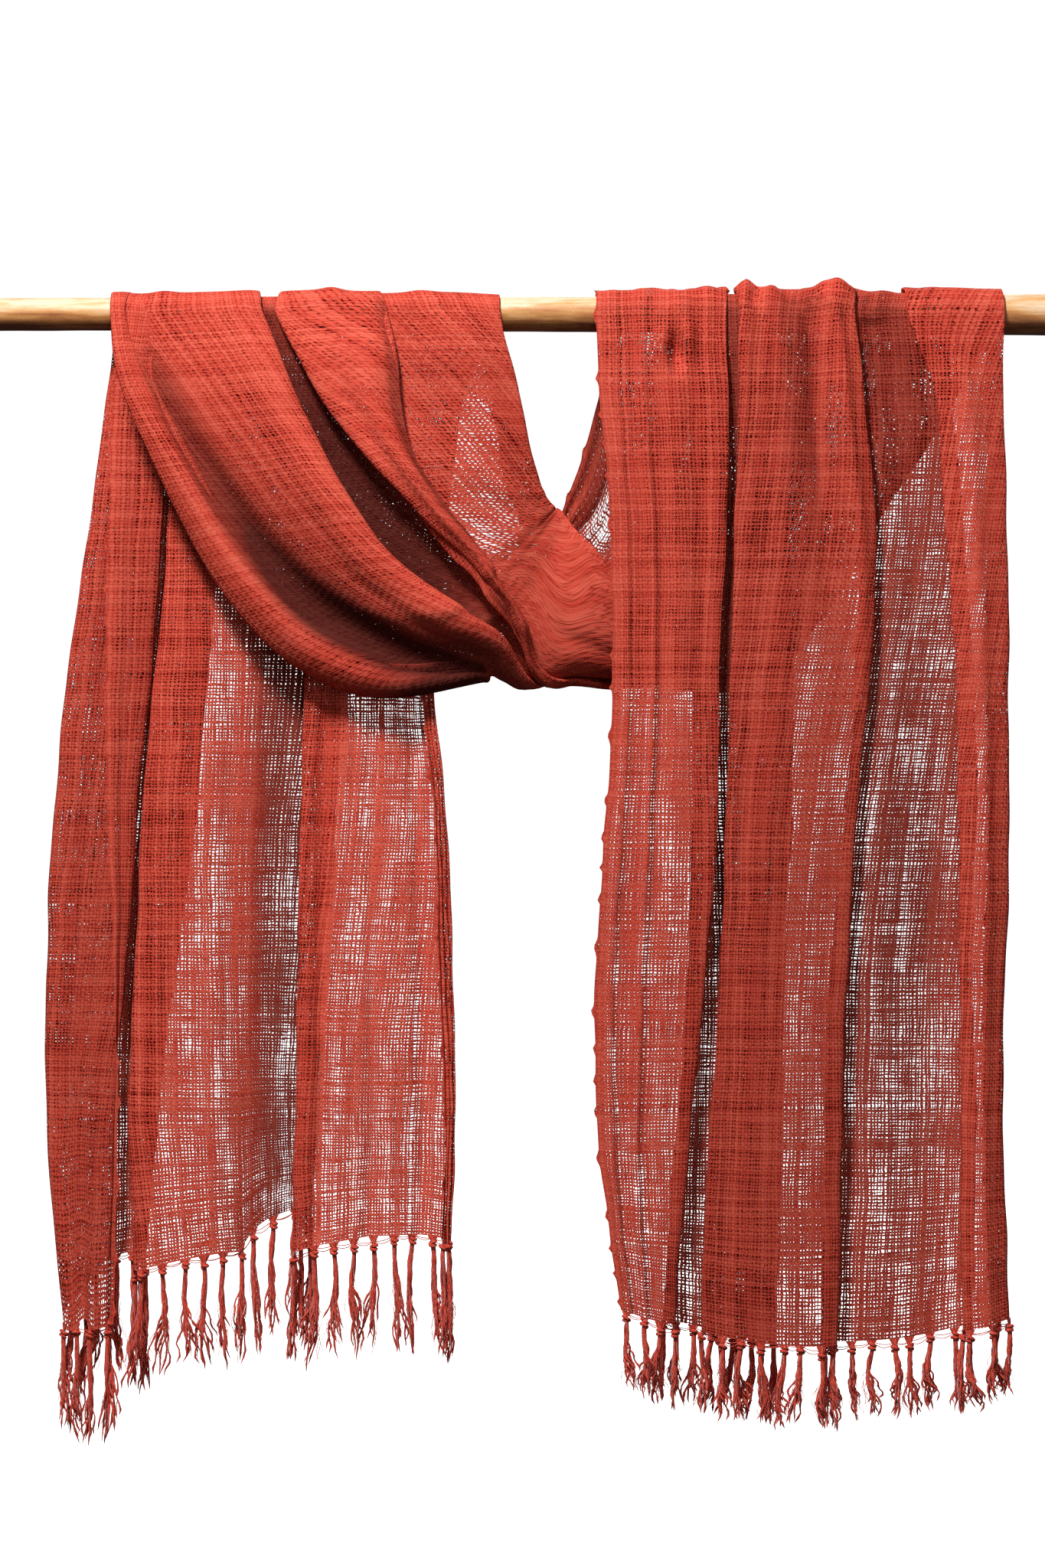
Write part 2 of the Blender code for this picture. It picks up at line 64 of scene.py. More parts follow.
rightTail = {
    "neck": (-58, -13, 5,
        (53, 74, 91, 115, 141, 117, 134, 155, 180, 148, 235, 220, 294, 283, 331, 318)),
    "chest": (-153, -12, 7,
        (60, 81, 97, 118, 140, 118, 136, 160, 184, 145, 242, 230, 305, 290, 332, 319)),
    "waist": (-259, -12, 8,
        (62, 81, 97, 117, 136, 117, 136, 160, 186, 142, 238, 229, 310, 296, 333, 319)),
    "middle": (-365, -11, 9,
        (55, 76, 94, 114, 133, 117, 134, 158, 184, 139, 228, 220, 312, 299, 333, 319)),
    "knee": (-471, -10, 9,
        (50, 70, 89, 107, 124, 112, 129, 152, 180, 133, 221, 211, 310, 299, 330, 317)),
    "low": (-577, -9, 10,
        (52, 70, 86, 100, 114, 105, 123, 147, 179, 127, 219, 208, 311, 300, 329, 316)),
    "hem": (-694, -8, 11,
        (68, 79, 89, 97, 105, 97, 115, 139, 174, 121, 216, 205, 310, 300, 333, 321)),
}
rodLines = {
    "leftBack": (-278, -244, -284, -261, -184, -223, -203, -176, -136, -163, -107, -97, -17, -23, -28, -33),
    "leftFront": (
        -274, -248, -283, -278, -179, -208, -197, -176, -142, -170, -92, -107, -16, -23, -29, -36,
    ),
    "right": (51, 73, 89, 113, 141, 115, 131, 152, 174, 148, 228, 211, 274, 263, 331, 318),
}
# How many layers above the innermost one each of the seventeen stretches lies.
layerTable = {
    "hem": (1, 1, 2, 2, 2, 1, 0, 0.2, 1.8, 2, 1.1, 0.2, 0.3, 0.4, -0.4, -0.4, -0.4),
    "low": (0.5, 1, 2, 2, 2, 1, 0, 0.2, 1.8, 2, 1.1, 0.2, 0.3, 0.4, -0.4, -0.4, -0.4),
    "knee": (0.1, 1, 2, 2, 2, 1, 0, 0.2, 1.8, 2, 1.1, 0.2, 0.3, 0.4, -0.4, -0.4, -0.4),
    "middle": (0, 1, 2, 2, 2, 1, 0, 0.2, 1.8, 2, 1.1, 0.2, 0.3, 0.4, -0.4, -0.4, -0.4),
    "waist": (0, 1, 2, 2, 2, 1, 0, 0.2, 1.8, 2, 1.1, 0.2, 0.3, 0.4, -0.4, -0.4, -0.4),
    "chest": (0, 1, 2, 2, 2, 1, 0, 0.4, 1.5, 1.7, 1, 0.4, 0.4, 0.5, -0.3, -0.3, -0.3),
    "shoulder": (0, 1, 2, 2, 2, 1, 0, 0.6, 0.9, 1, 1, 1, 0.9, 0.8, 0, 0, 0),
    "neck": (0, 1, 2, 2, 2, 1, 0, 0.1, 0.3, 0.4, 1, 1.6, 1.3, 1, 0.2, 0.2, 0.2),
    "rodBack": (0, 1, 2, 2, 2, 1, 0, 0, 0, 0, 1, 2, 1.6, 1, 0, 0, 0),
    "swag": (0, 1, 2, 0.4, 3.1, 1, -0.9, -1.0, -1.0, -0.6, 1, 3, 2, 1, 0, 0, 0),
    "joining": (0, 1, 2, 1.2, 2, 1, 0, 0, 0, 0, 1, 2.4, 1.6, 1, 0, 0, 0),
    "turning": (0.8, 1.4, 2, 1.8, 2, 1, 0, 0, 0, 0, 1, 3, 2, 1, 0.7, 0.4, 0.2),
    "turned": (2, 2, 2, 2, 2, 1, 0, 0, 0, 0, 1, 2.4, 1.4, 0.5, 0.8, 1.1, 1.1),
    "rising": (2, 2, 2, 2, 2, 1, 0, 0, 0, 0, 1, 2, 1, 0.2, 1, 1.8, 1.2),
    "right": (2, 2, 2, 2, 2, 1, 0, 0, 0, 0, 1, 2, 1, 0, 1, 2, 1),
}
# The cloth between the two places on the rod, section by section.
# Columns: four points of the curve under the innermost layer, gap, places of the sixteen lines
# along it from 0 to 1, layers.
swagTable = (
    ((-277, -13, -47), (-188, -15, -42), (-99, -15, -35), (-10, -13, -26), 4,
     (0.04, 0.09, 0, 0.097, 0.425, 0.3, 0.36, 0.44, 0.54, 0.474, 0.725, 0.66, 1, 0.98, 0.955, 0.93),
     "swag"),
    ((-256, -12, -95), (-171, -16, -84), (-86, -15, -70), (-2, -11, -56), 5.5,
     (0.04, 0.1, 0, 0.111, 0.436, 0.3, 0.37, 0.46, 0.57, 0.505, 0.685, 0.62, 1, 0.98, 0.95, 0.92),
     "swag"),
    ((-229, -4, -149), (-151, -26, -130), (-73, -14, -106), (4, -9, -82), 6.5,
     (0.04, 0.11, 0, 0.142, 0.454, 0.29, 0.38, 0.5, 0.62, 0.56, 0.675, 0.6, 1, 0.98, 0.945, 0.91),
     "swag"),
    ((-198, 0, -198), (-128, -34, -174), (-59, -11, -142), (10, -6, -110), 6.5,
     (0.04, 0.12, 0, 0.179, 0.483, 0.3, 0.4, 0.54, 0.68, 0.62, 0.705, 0.62, 1, 0.98, 0.94, 0.9), "swag"),
    ((-158, 2, -237), (-100, -36, -205), (-42, -8, -165), (15, -3, -124), 6,
     (0.05, 0.14, 0, 0.21, 0.496, 0.31, 0.4, 0.55, 0.7, 0.64, 0.71, 0.62, 1, 0.975, 0.93, 0.89), "swag"),
    ((-107, 3, -259), (-65, -36, -220), (-22, -5, -176), (20, -1, -132), 5.5,
     (0.05, 0.15, 0, 0.2, 0.464, 0.29, 0.38, 0.5, 0.67, 0.6, 0.67, 0.58, 1, 0.97, 0.92, 0.87), "swag"),
    ((-44, 2, -252), (-22, -20, -218), (4, 0, -177), (26, 1, -136), 4.5,
     (0.05, 0.14, 0, 0.09, 0.33, 0.19, 0.27, 0.36, 0.5, 0.44, 0.49, 0.4, 1, 0.97, 0.93, 0.88), "swag"),
    ((-20, 20, -230), (2, 18, -274), (30, -4, -246), (40, -4, -152), 4,
     (0.04, 0.12, 0.02, 0.12, 0.39, 0.24, 0.3, 0.37, 0.5, 0.42, 0.5, 0.42, 1, 0.975, 0.943, 0.91),
     "joining"),
    ((6, 38, -178), (24, 38, -270), (51, -4, -267), (53, -5, -165), 4,
     (0.04, 0.09, 0.06, 0.14, 0.4, 0.26, 0.31, 0.37, 0.5, 0.42, 0.52, 0.44, 1, 0.98, 0.955, 0.93),
     "joining"),
    ((26, 38, -138), (49, 50, -250), (89, 14, -284), (89, 0, -201), 4,
     (0, 0.05, 0.09, 0.17, 0.4, 0.27, 0.32, 0.38, 0.5, 0.4, 0.58, 0.49, 0.95, 0.965, 0.98, 1), "turning"),
    ((41, 34, -100), (78, 46, -206), (115, 38, -280), (150, 12, -250), 4.5,
     (0, 0.07, 0.13, 0.2, 0.37, 0.26, 0.31, 0.37, 0.47, 0.37, 0.62, 0.54, 0.88, 0.92, 0.96, 1), "turned"),
    ((54, 26, -50), (99, 36, -121), (160, 34, -206), (211, 16, -206), 4.5,
     (0, 0.078, 0.134, 0.22, 0.34, 0.24, 0.29, 0.36, 0.45, 0.36, 0.63, 0.56, 0.83, 0.815, 0.98, 0.99),
     "rising"),
    ((55, 19, -26), (115, 27, -68), (195, 27, -127), (256, 17, -129), 4,
     (0, 0.078, 0.134, 0.22, 0.33, 0.235, 0.287, 0.36, 0.44, 0.35, 0.632, 0.57, 0.81, 0.77, 1, 0.965),
     "right"),
    ((54, 15, -9), (142, 19, -26), (227, 20, -58), (298, 16, -63), 3,
     (0, 0.078, 0.134, 0.22, 0.325, 0.23, 0.286, 0.36, 0.4375, 0.347, 0.632, 0.57, 0.8, 0.757, 1, 0.955),
     "right"),
)
swagSections = 12  # the first twelve belong to the swag, the others rise to the rod
cloth = {
    "rowSpacing": 2.8,  # millimetres, as all lengths here
    "columnSpacing": 2.9,
    "foldRounding": 12.0,  # from a fold to where its panel lies flat
    "roll": 0.55,  # share by which a fold leans to the next layer
    "swagDepth": 1.13,  # times the gap between layers
    "layerTilt": 0.1,  # share by which a panel slopes to its neighbours
    "rodClearance": 0.8,
    "rodGap": 1.7,
    "wrapStep": 30,  # degrees between the sections round the rod
    "leftHem": (-699, -678, -620, -637),
    "rightHem": (-684, -714, -718, -690),
    "hemLift": 28.0,  # hidden layers of the left hem end so much higher
    # how much higher or lower the left hem ends at these lines
    "hemStepLines": (0, 2.4, 3.2, 4, 5, 5.4, 5.95, 6.6, 7.35, 8, 15),
    "hemSteps": (-13, -13, 4, 6, 21, 18, 12, 5, -3, -5, -4),
    "rippleHeight": 0.7,
    "wander": 1.2,  # fold lines wave so much
    "wanderLength": 38.0,
    "layerStep": 8.0,  # what a layer counts for when the columns are spread
    "hemRise": 1.4,  # key sections over which the left hem's lift and steps fade out
    "puff": 0.45,  # layers by which a panel crowns
    "nub": 2.2,  # weft loops past the selvedge
}
rod = {"radius": 12.1, "taper": 0.0044, "swell": 0.0000065, "start": -425.0, "end": 425.0}


def rodRadius(x):
    # radius = middle radius + taper times x + swell times x squared
    return rod["radius"] + rod["taper"] * x + rod["swell"] * x * x


def makeRow(carrier, gap, places, layers):
    # one section as a flat list: 12 curve coordinates, gap, 16 places, 17 layers
    return np.concatenate((np.asarray(carrier, float).ravel(), (gap,), places, layers))


def straightRow(depth, heights, gap, lines, layers):
    # places = (x of the line - lowest x) / width, on a straight curve at one depth
    lines = np.asarray(lines, float)
    startX = lines.min()
    endX = lines.max()
    curve = np.column_stack((
        np.linspace(startX, endX, 4),
        np.broadcast_to(depth, 4),
        np.broadcast_to(heights, 4),
    ))
    return makeRow(curve, gap, (lines - startX) / (endX - startX), layers)


def wrapRows(backLines, frontLines, backLayers, frontLayers):
    # round the rod: depth = radius times cosine, height = radius times sine of the angle
    rows = []
    for angle in range(0, 181, cloth["wrapStep"]):
        share = angle / 180
        lines = np.asarray(backLines) * (1 - share) + np.asarray(frontLines) * share
        layers = np.asarray(backLayers) * (1 - share) + np.asarray(frontLayers) * share
        radius = rodRadius(np.linspace(lines.min(), lines.max(), 4)) + cloth["rodClearance"]
        turn = math.radians(angle)
        depth = radius * math.cos(turn)
        height = radius * math.sin(turn)
        rows.append(straightRow(depth, height, cloth["rodGap"], lines, layers))
    return rows


def tailRows(table, hemHeights, layersOf):
    rows = []
    for place, (height, depth, gap, lines) in table.items():
        heights = hemHeights if place == "hem" else height
        rows.append(straightRow(depth, heights, gap, lines, layersOf(place)))
    return rows


def bezier(points, places):
    # cubic Bezier of four points per row at each place
    t = places[..., None]
    s = 1 - t
    p = points[:, None]
    return s**3 * p[:, :, 0] + 3 * s * s * t * p[:, :, 1] + 3 * s * t * t * p[:, :, 2] + t**3 * p[:, :, 3]


def smoothNoise(values, number):
    # sum of three sines of unlike wavelengths, from -1 to 1
    phase = number * 1.7
    waves = np.sin(values + phase) + 0.6 * np.sin(values * 2.3 + phase * 2.1)
    return (waves + 0.4 * np.sin(values * 4.1 + phase * 0.7)) / 2


leftRows = tailRows(leftTail, cloth["leftHem"], lambda place: layerTable[place])
leftWrap = wrapRows(rodLines["leftBack"], rodLines["leftFront"], layerTable["rodBack"], layerTable["swag"])
freeRows = [
    makeRow(row[:4], row[4] * cloth["swagDepth"], row[5], layerTable[row[6]]) for row in swagTable
]
rightWrap = wrapRows(rodLines["right"], rodLines["right"], layerTable["right"], layerTable["right"])
rightRows = tailRows(rightTail, cloth["rightHem"], lambda place: layerTable["right"])
keyRows = np.asarray(leftRows + leftWrap + freeRows + rightWrap + rightRows)
keySeams = {
    "leftTail": len(leftRows) + 3,
    "swag": len(leftRows) + len(leftWrap) + swagSections,
    "rise": len(leftRows) + len(leftWrap) + len(freeRows) + 3,
}


def blendRows(rows):
    # Hermite blend: each stretch between two key sections gets as many rows as its length needs
    carriers = rows[:, :12].reshape(-1, 4, 3)
    strides = np.linalg.norm(np.diff(carriers, axis=0), axis=2).mean(axis=1)
    counts = np.maximum(2, np.round(strides / cloth["rowSpacing"])).astype(int)
    blended = []
    starts = [0]
    for index, count in enumerate(counts):
        before = rows[max(index - 1, 0)]
        here = rows[index]
        after = rows[index + 1]
        beyond = rows[min(index + 2, len(rows) - 1)]
        strideBefore = strides[max(index - 1, 0)]
        strideAfter = strides[min(index + 1, len(strides) - 1)]
        stride = strides[index]
        slopeIn = (after - before) * stride / (stride + strideBefore) if index else after - here
        slopeOut = (beyond - here) * stride / (stride + strideAfter)
        t = (np.arange(count) / count)[:, None]
        blended.append(
            (2 * t**3 - 3 * t**2 + 1) * here
            + (t**3 - 2 * t**2 + t) * slopeIn
            + (3 * t**2 - 2 * t**3) * after
            + (t**3 - t**2) * slopeOut
        )
        starts.append(starts[-1] + count)
    blended.append(rows[-1:])
    return np.vstack(blended), starts


rows, starts = blendRows(keyRows)
seams = [0] + [starts[index] for index in keySeams.values()] + [len(rows) - 1]
print("rows", len(rows), "seams", seams)


def sectionCorners(rows):
    # corner polygon of every section: two corners at each fold, one a little way in from it on
    # either side, and one at the middle of a panel or at each of its soft lines
    places = rows[:, 13:29]
    layers = rows[:, 29:46]
    carriers = rows[:, :12].reshape(-1, 4, 3)
    width = np.linalg.norm(np.diff(carriers, axis=1), axis=2).sum(axis=1)
    strides = np.linalg.norm(np.diff(carriers.mean(axis=1), axis=0), axis=1)
    travelled = np.concatenate(((0,), np.cumsum(strides)))
    wander = np.column_stack([smoothNoise(travelled / cloth["wanderLength"], line) for line in range(16)])
    places = places + wander * (cloth["wander"] / width)[:, None]
    rounding = cloth["foldRounding"] / width
    # stretches: first line, last line, layer in the table at its start and at its end
    stretches = (
        (0, 1, 0, 0), (1, 2, 1, 1), (2, 4, 2, 4), (4, 5, 5, 5), (5, 8, 6, 9), (8, 9, 10, 10),
        (9, 10, 11, 11), (10, 11, 12, 12), (11, 12, 13, 13), (12, 13, 14, 14), (13, 14, 15, 15),
        (14, 15, 16, 16),
    )
    softLines = {2: ((3, 3),), 5: ((6, 7), (7, 8))}
    corners = []
    lines = []
    for number, (first, last, levelIn, levelOut) in enumerate(stretches):
        start = places[:, first]
        end = places[:, last]
        inset = np.sign(end - start) * np.minimum(rounding, 0.25 * np.abs(end - start))
        before = layers[:, stretches[max(number - 1, 0)][3]]
        after = layers[:, stretches[min(number + 1, len(stretches) - 1)][2]]
        tilt = cloth["layerTilt"] * (after - before) / 2
        roll = cloth["roll"] / 2
        corners.append((start, layers[:, levelIn] * (1 - roll) + before * roll))
        corners.append((start + inset, layers[:, levelIn] - tilt))
        lines.extend((first, first + 0.2))
        corners.extend((places[:, line], layers[:, level]) for line, level in softLines.get(first, ()))
        lines.extend(line for line, level in softLines.get(first, ()))
        if first not in softLines:
            middleLayer = (layers[:, levelIn] + layers[:, levelOut]) / 2
            corners.append(((start + end) / 2, middleLayer + cloth["puff"]))
            lines.append((first + last) / 2)
        corners.append((end - inset, layers[:, levelOut] + tilt))
        corners.append((end, layers[:, levelOut] * (1 - roll) + after * roll))
        lines.extend((last - 0.2, last))
    return np.transpose(np.asarray(corners), (2, 0, 1)), width, np.asarray(lines)


def sectionWeights(corners, width):
    # quadratic B-spline: half (1-t) squared, half + t - t squared, half t squared of three corners
    sizes = np.column_stack((width, np.full(len(width), cloth["layerStep"])))[:, None]
    spans = np.linalg.norm(np.diff(corners * sizes, axis=1), axis=2).max(axis=0)
    count = corners.shape[1]
    weights = [np.eye(count)[0]]
    for corner in range(1, count - 1):
        length = (spans[corner - 1] + spans[corner]) / 2
        steps = max(2, int(round(length / cloth["columnSpacing"])))
        for step in range(steps):
            t = step / steps
            line = np.zeros(count)
            line[corner - 1] = (1 - t) ** 2 / 2
            line[corner] = 0.5 + t - t * t
            line[corner + 1] = t * t / 2
            weights.append(line)
    tail = np.zeros(count)
    tail[-1] = 0.5
    tail[-2] = 0.5
    weights.append(tail)
    weights.append(np.eye(count)[-1])
    return np.asarray(weights)


def unit(vectors):
    return vectors / np.maximum(np.linalg.norm(vectors, axis=-1, keepdims=True), 1e-12)


def clothSurface(rows):
    # point = curve at the place + outward direction times layer times gap; the left hem is lifted
    corners, width, lines = sectionCorners(rows)
    weights = sectionWeights(corners, width)
    outline = np.einsum("cw,rwk->rck", weights, corners)
    places = outline[:, :, 0]
    carriers = rows[:, :12].reshape(-1, 4, 3)
    base = bezier(carriers, places)
    across = bezier(carriers, places + 0.001) - bezier(carriers, places - 0.001)
    nextRow = np.minimum(np.arange(len(rows)) + 1, len(rows) - 1)
    lastRow = np.maximum(np.arange(len(rows)) - 1, 0)
    ahead = bezier(carriers[nextRow], places) - bezier(carriers[lastRow], places)
    outward = unit(np.cross(ahead, across))
    surface = base + outward * (outline[:, :, 1] * rows[:, 12][:, None])[:, :, None]
    nearHem = np.clip(1 - np.arange(len(rows)) / starts[1] / cloth["hemRise"], 0, 1) ** 2
    behind = np.clip(outline[:, :, 1] - 1, 0, 1)
    lineOf = weights @ lines
    steps = np.interp(lineOf, cloth["hemStepLines"], cloth["hemSteps"])
    surface[:, :, 2] += nearHem[:, None] * (cloth["hemLift"] * behind + steps)
    return surface, lineOf


points, lineOf = clothSurface(rows)
rowOf = np.interp(np.arange(len(rows)), starts, np.arange(len(keyRows)))
print("cloth grid", points.shape)


def smoothLines(values, reach):
    # running mean down each column over so many rows on either side
    padded = np.pad(values, ((reach, reach), (0, 0)), mode="edge")
    total = np.cumsum(np.vstack((np.zeros((1, values.shape[1])), padded)), axis=0)
    return (total[2 * reach + 1 :] - total[: -2 * reach - 1]) / (2 * reach + 1)


def weaveCoordinates(points):
    # along: in the tails the mean step between rows; elsewhere each column's own step less its
    # part across the cloth.  across: steps along a row less their rise
    acrossWay = unit(np.gradient(points, axis=1))
    step = np.diff(points, axis=0)
    middleWay = unit(acrossWay[1:] + acrossWay[:-1])
    square = step - (step * middleWay).sum(axis=2, keepdims=True) * middleWay
    ahead = np.linalg.norm(square, axis=2)
    for part in (slice(0, seams[1]), slice(seams[3], None)):
        ahead[part] = ahead[part].mean(axis=1, keepdims=True)
    along = np.vstack((np.zeros((1, points.shape[1])), np.cumsum(ahead, axis=0)))
    along[seams[3] + 1 :] += along[seams[3]].mean() - along[seams[3]]
    along = smoothLines(along.T, 12).T
    sideStep = np.linalg.norm(np.diff(points, axis=1), axis=2)
    rise = np.clip(np.diff(along, axis=1), -0.6 * sideStep, 0.6 * sideStep)
    flatStep = np.sqrt(sideStep**2 - rise**2)
    across = np.hstack((np.zeros((len(points), 1)), np.cumsum(flatStep, axis=1)))
    return across, along


across, along = weaveCoordinates(points)
print("width mm", across[:, -1].min(), across[:, -1].max())
print("length mm", along[-1].min(), along[-1].max())


# Creases that run with the cloth.  Columns: line and section where it starts, line and section
# where it ends, half width, height (a trough is less than 0).
creases = (
    (2.5, 14.5, 2.35, 22, 11, 4.6),
    (2.8, 14.6, 3.1, 21.4, 12, -8.0),
    (9.95, 14, 9.98, 20.5, 5, -3.0),
    (10.25, 14, 10.2, 20.5, 6, 1.6),
    (3.75, 13, 3.7, 21, 8, 2.2),
    (3.55, 17, 3.5, 22, 5, -1.5),
    (9.3, 13, 9.35, 20, 7, -2.4),
    (9.75, 13, 9.6, 21, 6, 1.8),
    (11.35, 12, 11.5, 19, 9, -2.2),
    (11.7, 13, 11.75, 20, 8, 1.8),
    (11.2, 16, 11.3, 22, 5, 1.6),
    (10.6, 15, 10.5, 21, 5, -1.5),
    (2.6, 20, 2.9, 25, 4, -1.6),
    (3.6, 21, 3.5, 25, 4, 1.5),
    (11.4, 21, 11.6, 25, 5, -1.8),
    (11.8, 22, 11.8, 26, 4, 1.4),
    (0.6, 33, 0.5, 39, 8, -1.6),
    (2.4, 34, 2.3, 40, 9, 1.5),
    (3.3, 33, 3.2, 38, 7, -1.5),
    (8.5, 35, 8.4, 41, 8, 1.4),
    (9.4, 36, 9.3, 41, 8, 2.0),
    (9.15, 37, 9.2, 42, 6, -1.6),
    (9.06, 31, 9.06, 36.5, 5, 3.5),
    (9.19, 31, 9.2, 35, 4, -3.4),
    (9.31, 31, 9.3, 34.5, 4, 3.2),
    (9.45, 32, 9.65, 37.6, 6, -5.0),
    (9.64, 31, 9.88, 38.2, 5, 4.6),
    (11.4, 33, 11.5, 38.5, 11, -4.0),
    (12.1, 31, 12.1, 38, 5, 2.6),
    (11.3, 36, 11.4, 42, 10, 2.0),
    (11.7, 35, 11.6, 41, 9, -1.8),
    (13.4, 34, 13.5, 41, 5, 1.4),
    (2.4, 0, 2.5, 6, 9, -2.0),
    (3.4, 1, 3.5, 6, 8, 1.6),
    (6.3, 0, 6.3, 5, 9, 2.0),
    (7.4, 0, 7.5, 4, 10, -1.8),
    (9.5, 0, 9.6, 5, 8, 1.8),
    (10.5, 0, 10.4, 5, 9, -2.0),
    (11.5, 0, 11.4, 6, 7, 1.6),
    (1.5, 25, 1.6, 30, 8, -1.8),
    (6.5, 24, 6.4, 29, 8, 2.0),
    (9.5, 25, 9.5, 30, 8, -1.8),
)
# Dents and bumps.  Columns: line, section, half width across, half length, height.
dents = (
    (2.5, 35.5, 5.5, 13, -9.5),
    (3.05, 35.35, 5, 16, 5.0),
    (2.1, 35.4, 5, 12, 3.5),
    (2.9, 34.0, 8, 9, 2.0),
    (9.84, 32.6, 8, 15, 7.5),
    (9.45, 33.4, 5, 22, -3.0),
    (9.15, 32.4, 7, 9, 3.0),
    (8.4, 32.3, 7, 11, 4.5),
    (9.1, 32.1, 6, 11, 3.5),
    (4.0, 32.0, 9, 13, 3.0),
    (2.0, 32.2, 9, 10, 1.8),
    (10.7, 32.2, 5, 10, 3.0),
    (13.0, 32.0, 9, 11, 2.0),
    (11.6, 32.5, 9, 12, 2.0),
    (3.2, 11.5, 9, 12, 1.8),
    (9.5, 11.4, 8, 10, 2.0),
    (11.4, 11.6, 10, 12, 1.6),
    (11.5, 17.5, 12, 16, 1.8),
    (3.6, 19.5, 12, 18, 2.0),
)


def creaseHeights(across, along):
    # crease: gauss of the distance across, faded to nothing at both of its ends; dent: gauss of
    # the distance both ways
    total = np.zeros(across.shape)
    for lineIn, rowIn, lineOut, rowOut, halfWidth, height in creases:
        share = np.clip((rowOf - rowIn) / (rowOut - rowIn), 0, 1)
        line = lineIn + (lineOut - lineIn) * share + 0.02 * np.sin(rowOf * 2.1 + lineIn)
        column = np.interp(line, lineOf, np.arange(len(lineOf)))
        low = np.floor(column).astype(int)
        high = np.minimum(low + 1, len(lineOf) - 1)
        part = column - low
        rowsHere = np.arange(len(rowOf))
        middle = across[rowsHere, low] * (1 - part) + across[rowsHere, high] * part
        fade = np.sin(math.pi * share) ** 0.6
        total += height * fade[:, None] * np.exp(-(((across - middle[:, None]) / halfWidth) ** 2))
    for line, row, halfWidth, halfLength, height in dents:
        column = int(round(float(np.interp(line, lineOf, np.arange(len(lineOf))))))
        place = int(round(float(np.interp(row, rowOf, np.arange(len(rowOf))))))
        farAcross = (across - across[place, column]) / halfWidth
        farAlong = (along - along[place, column]) / halfLength
        total += height * np.exp(-(farAcross**2 + farAlong**2))
    return total


def relief(points, across, along):
    # point + normal times height: creases, dents and soft ripples, which are four sines of the
    # weave coordinates, each with its own wavelength
    wave = (
        np.sin(across / 19 + 1.3 * np.sin(along / 61))
        + 0.8 * np.sin(across / 31 - along / 83 + 2.0)
        + 0.7 * np.sin(along / 47 + 1.7 * np.sin(across / 53 + 0.6))
        + 0.5 * np.sin(across / 8.5 + along / 120 + 1.5 * np.sin(along / 35))
    )
    normal = unit(np.cross(np.gradient(points, axis=0), np.gradient(points, axis=1)))
    height = cloth["rippleHeight"] * wave / 2 + creaseHeights(across, along)
    return points + normal * height[:, :, None]


def nubbyEdges(points):
    # the outer column moves out by the sixth power of a sine of uneven pace
    edges = points.copy()
    for column, inner, phase in ((0, 2, 0.0), (-1, -3, 1.9)):
        way = unit(points[:, column] - points[:, inner])
        pace = along[:, column] / 4.6 + 2.2 * np.sin(along[:, column] / 23 + phase)
        edges[:, column] += way * (cloth["nub"] * np.clip(np.sin(pace), 0, 1) ** 6)[:, None]
    return edges


def keepOffRod(points):
    # a point nearer to the rod's axis than the rod's surface moves straight out to it
    distance = np.hypot(points[:, :, 1], points[:, :, 2])
    least = rodRadius(points[:, :, 0]) + cloth["rodClearance"]
    grow = np.maximum(1.0, least / np.maximum(distance, 1.0))
    return points * np.dstack((np.ones(grow.shape), grow, grow))


points = keepOffRod(nubbyEdges(relief(points, across, along)))


def feedSockets(tree, node, feeds):
    # a number, vector or colour is set on the socket; a socket or a node's first output is linked
    for key, feed in feeds.items():
        if isinstance(feed, bpy.types.Node):
            feed = feed.outputs[0]
        if isinstance(feed, bpy.types.NodeSocket):
            tree.links.new(feed, node.inputs[key])
        else:
            node.inputs[key].default_value = feed


def addNode(tree, kind, *feeds, stops=(), **settings):
    # one node: feeds go to its sockets in order or by name, settings are its properties, stops
    # are (position, hex colour), and a second word after the kind is its operation
    kind, _, operation = kind.partition(" ")
    node = tree.nodes.new("ShaderNode" + kind)
    if operation:
        node.operation = operation
    for key, value in settings.items():
        setattr(node, key, value)
    for index, feed in enumerate(feeds):
        feedSockets(tree, node, feed if isinstance(feed, dict) else {index: feed})
    for index, (position, color) in enumerate(stops):
        elements = node.color_ramp.elements
        element = elements[index] if index < len(elements) else elements.new(position)
        element.position = position
        element.color = linear(color)
    return node


def linear(hexColor):
    # sRGB hex to linear red, green, blue and alpha
    channels = [int(hexColor[index : index + 2], 16) / 255 for index in (1, 3, 5)]
    bright = [((value + 0.055) / 1.055) ** 2.4 for value in channels]
    return [low / 12.92 if low <= 0.04045 else high for low, high in zip(channels, bright)] + [1.0]


def newMaterial(name):
    material = bpy.data.materials.new(name)
    material.use_nodes = True
    tree = material.node_tree
    shader = tree.nodes["Principled BSDF"]
    return material, tree, shader


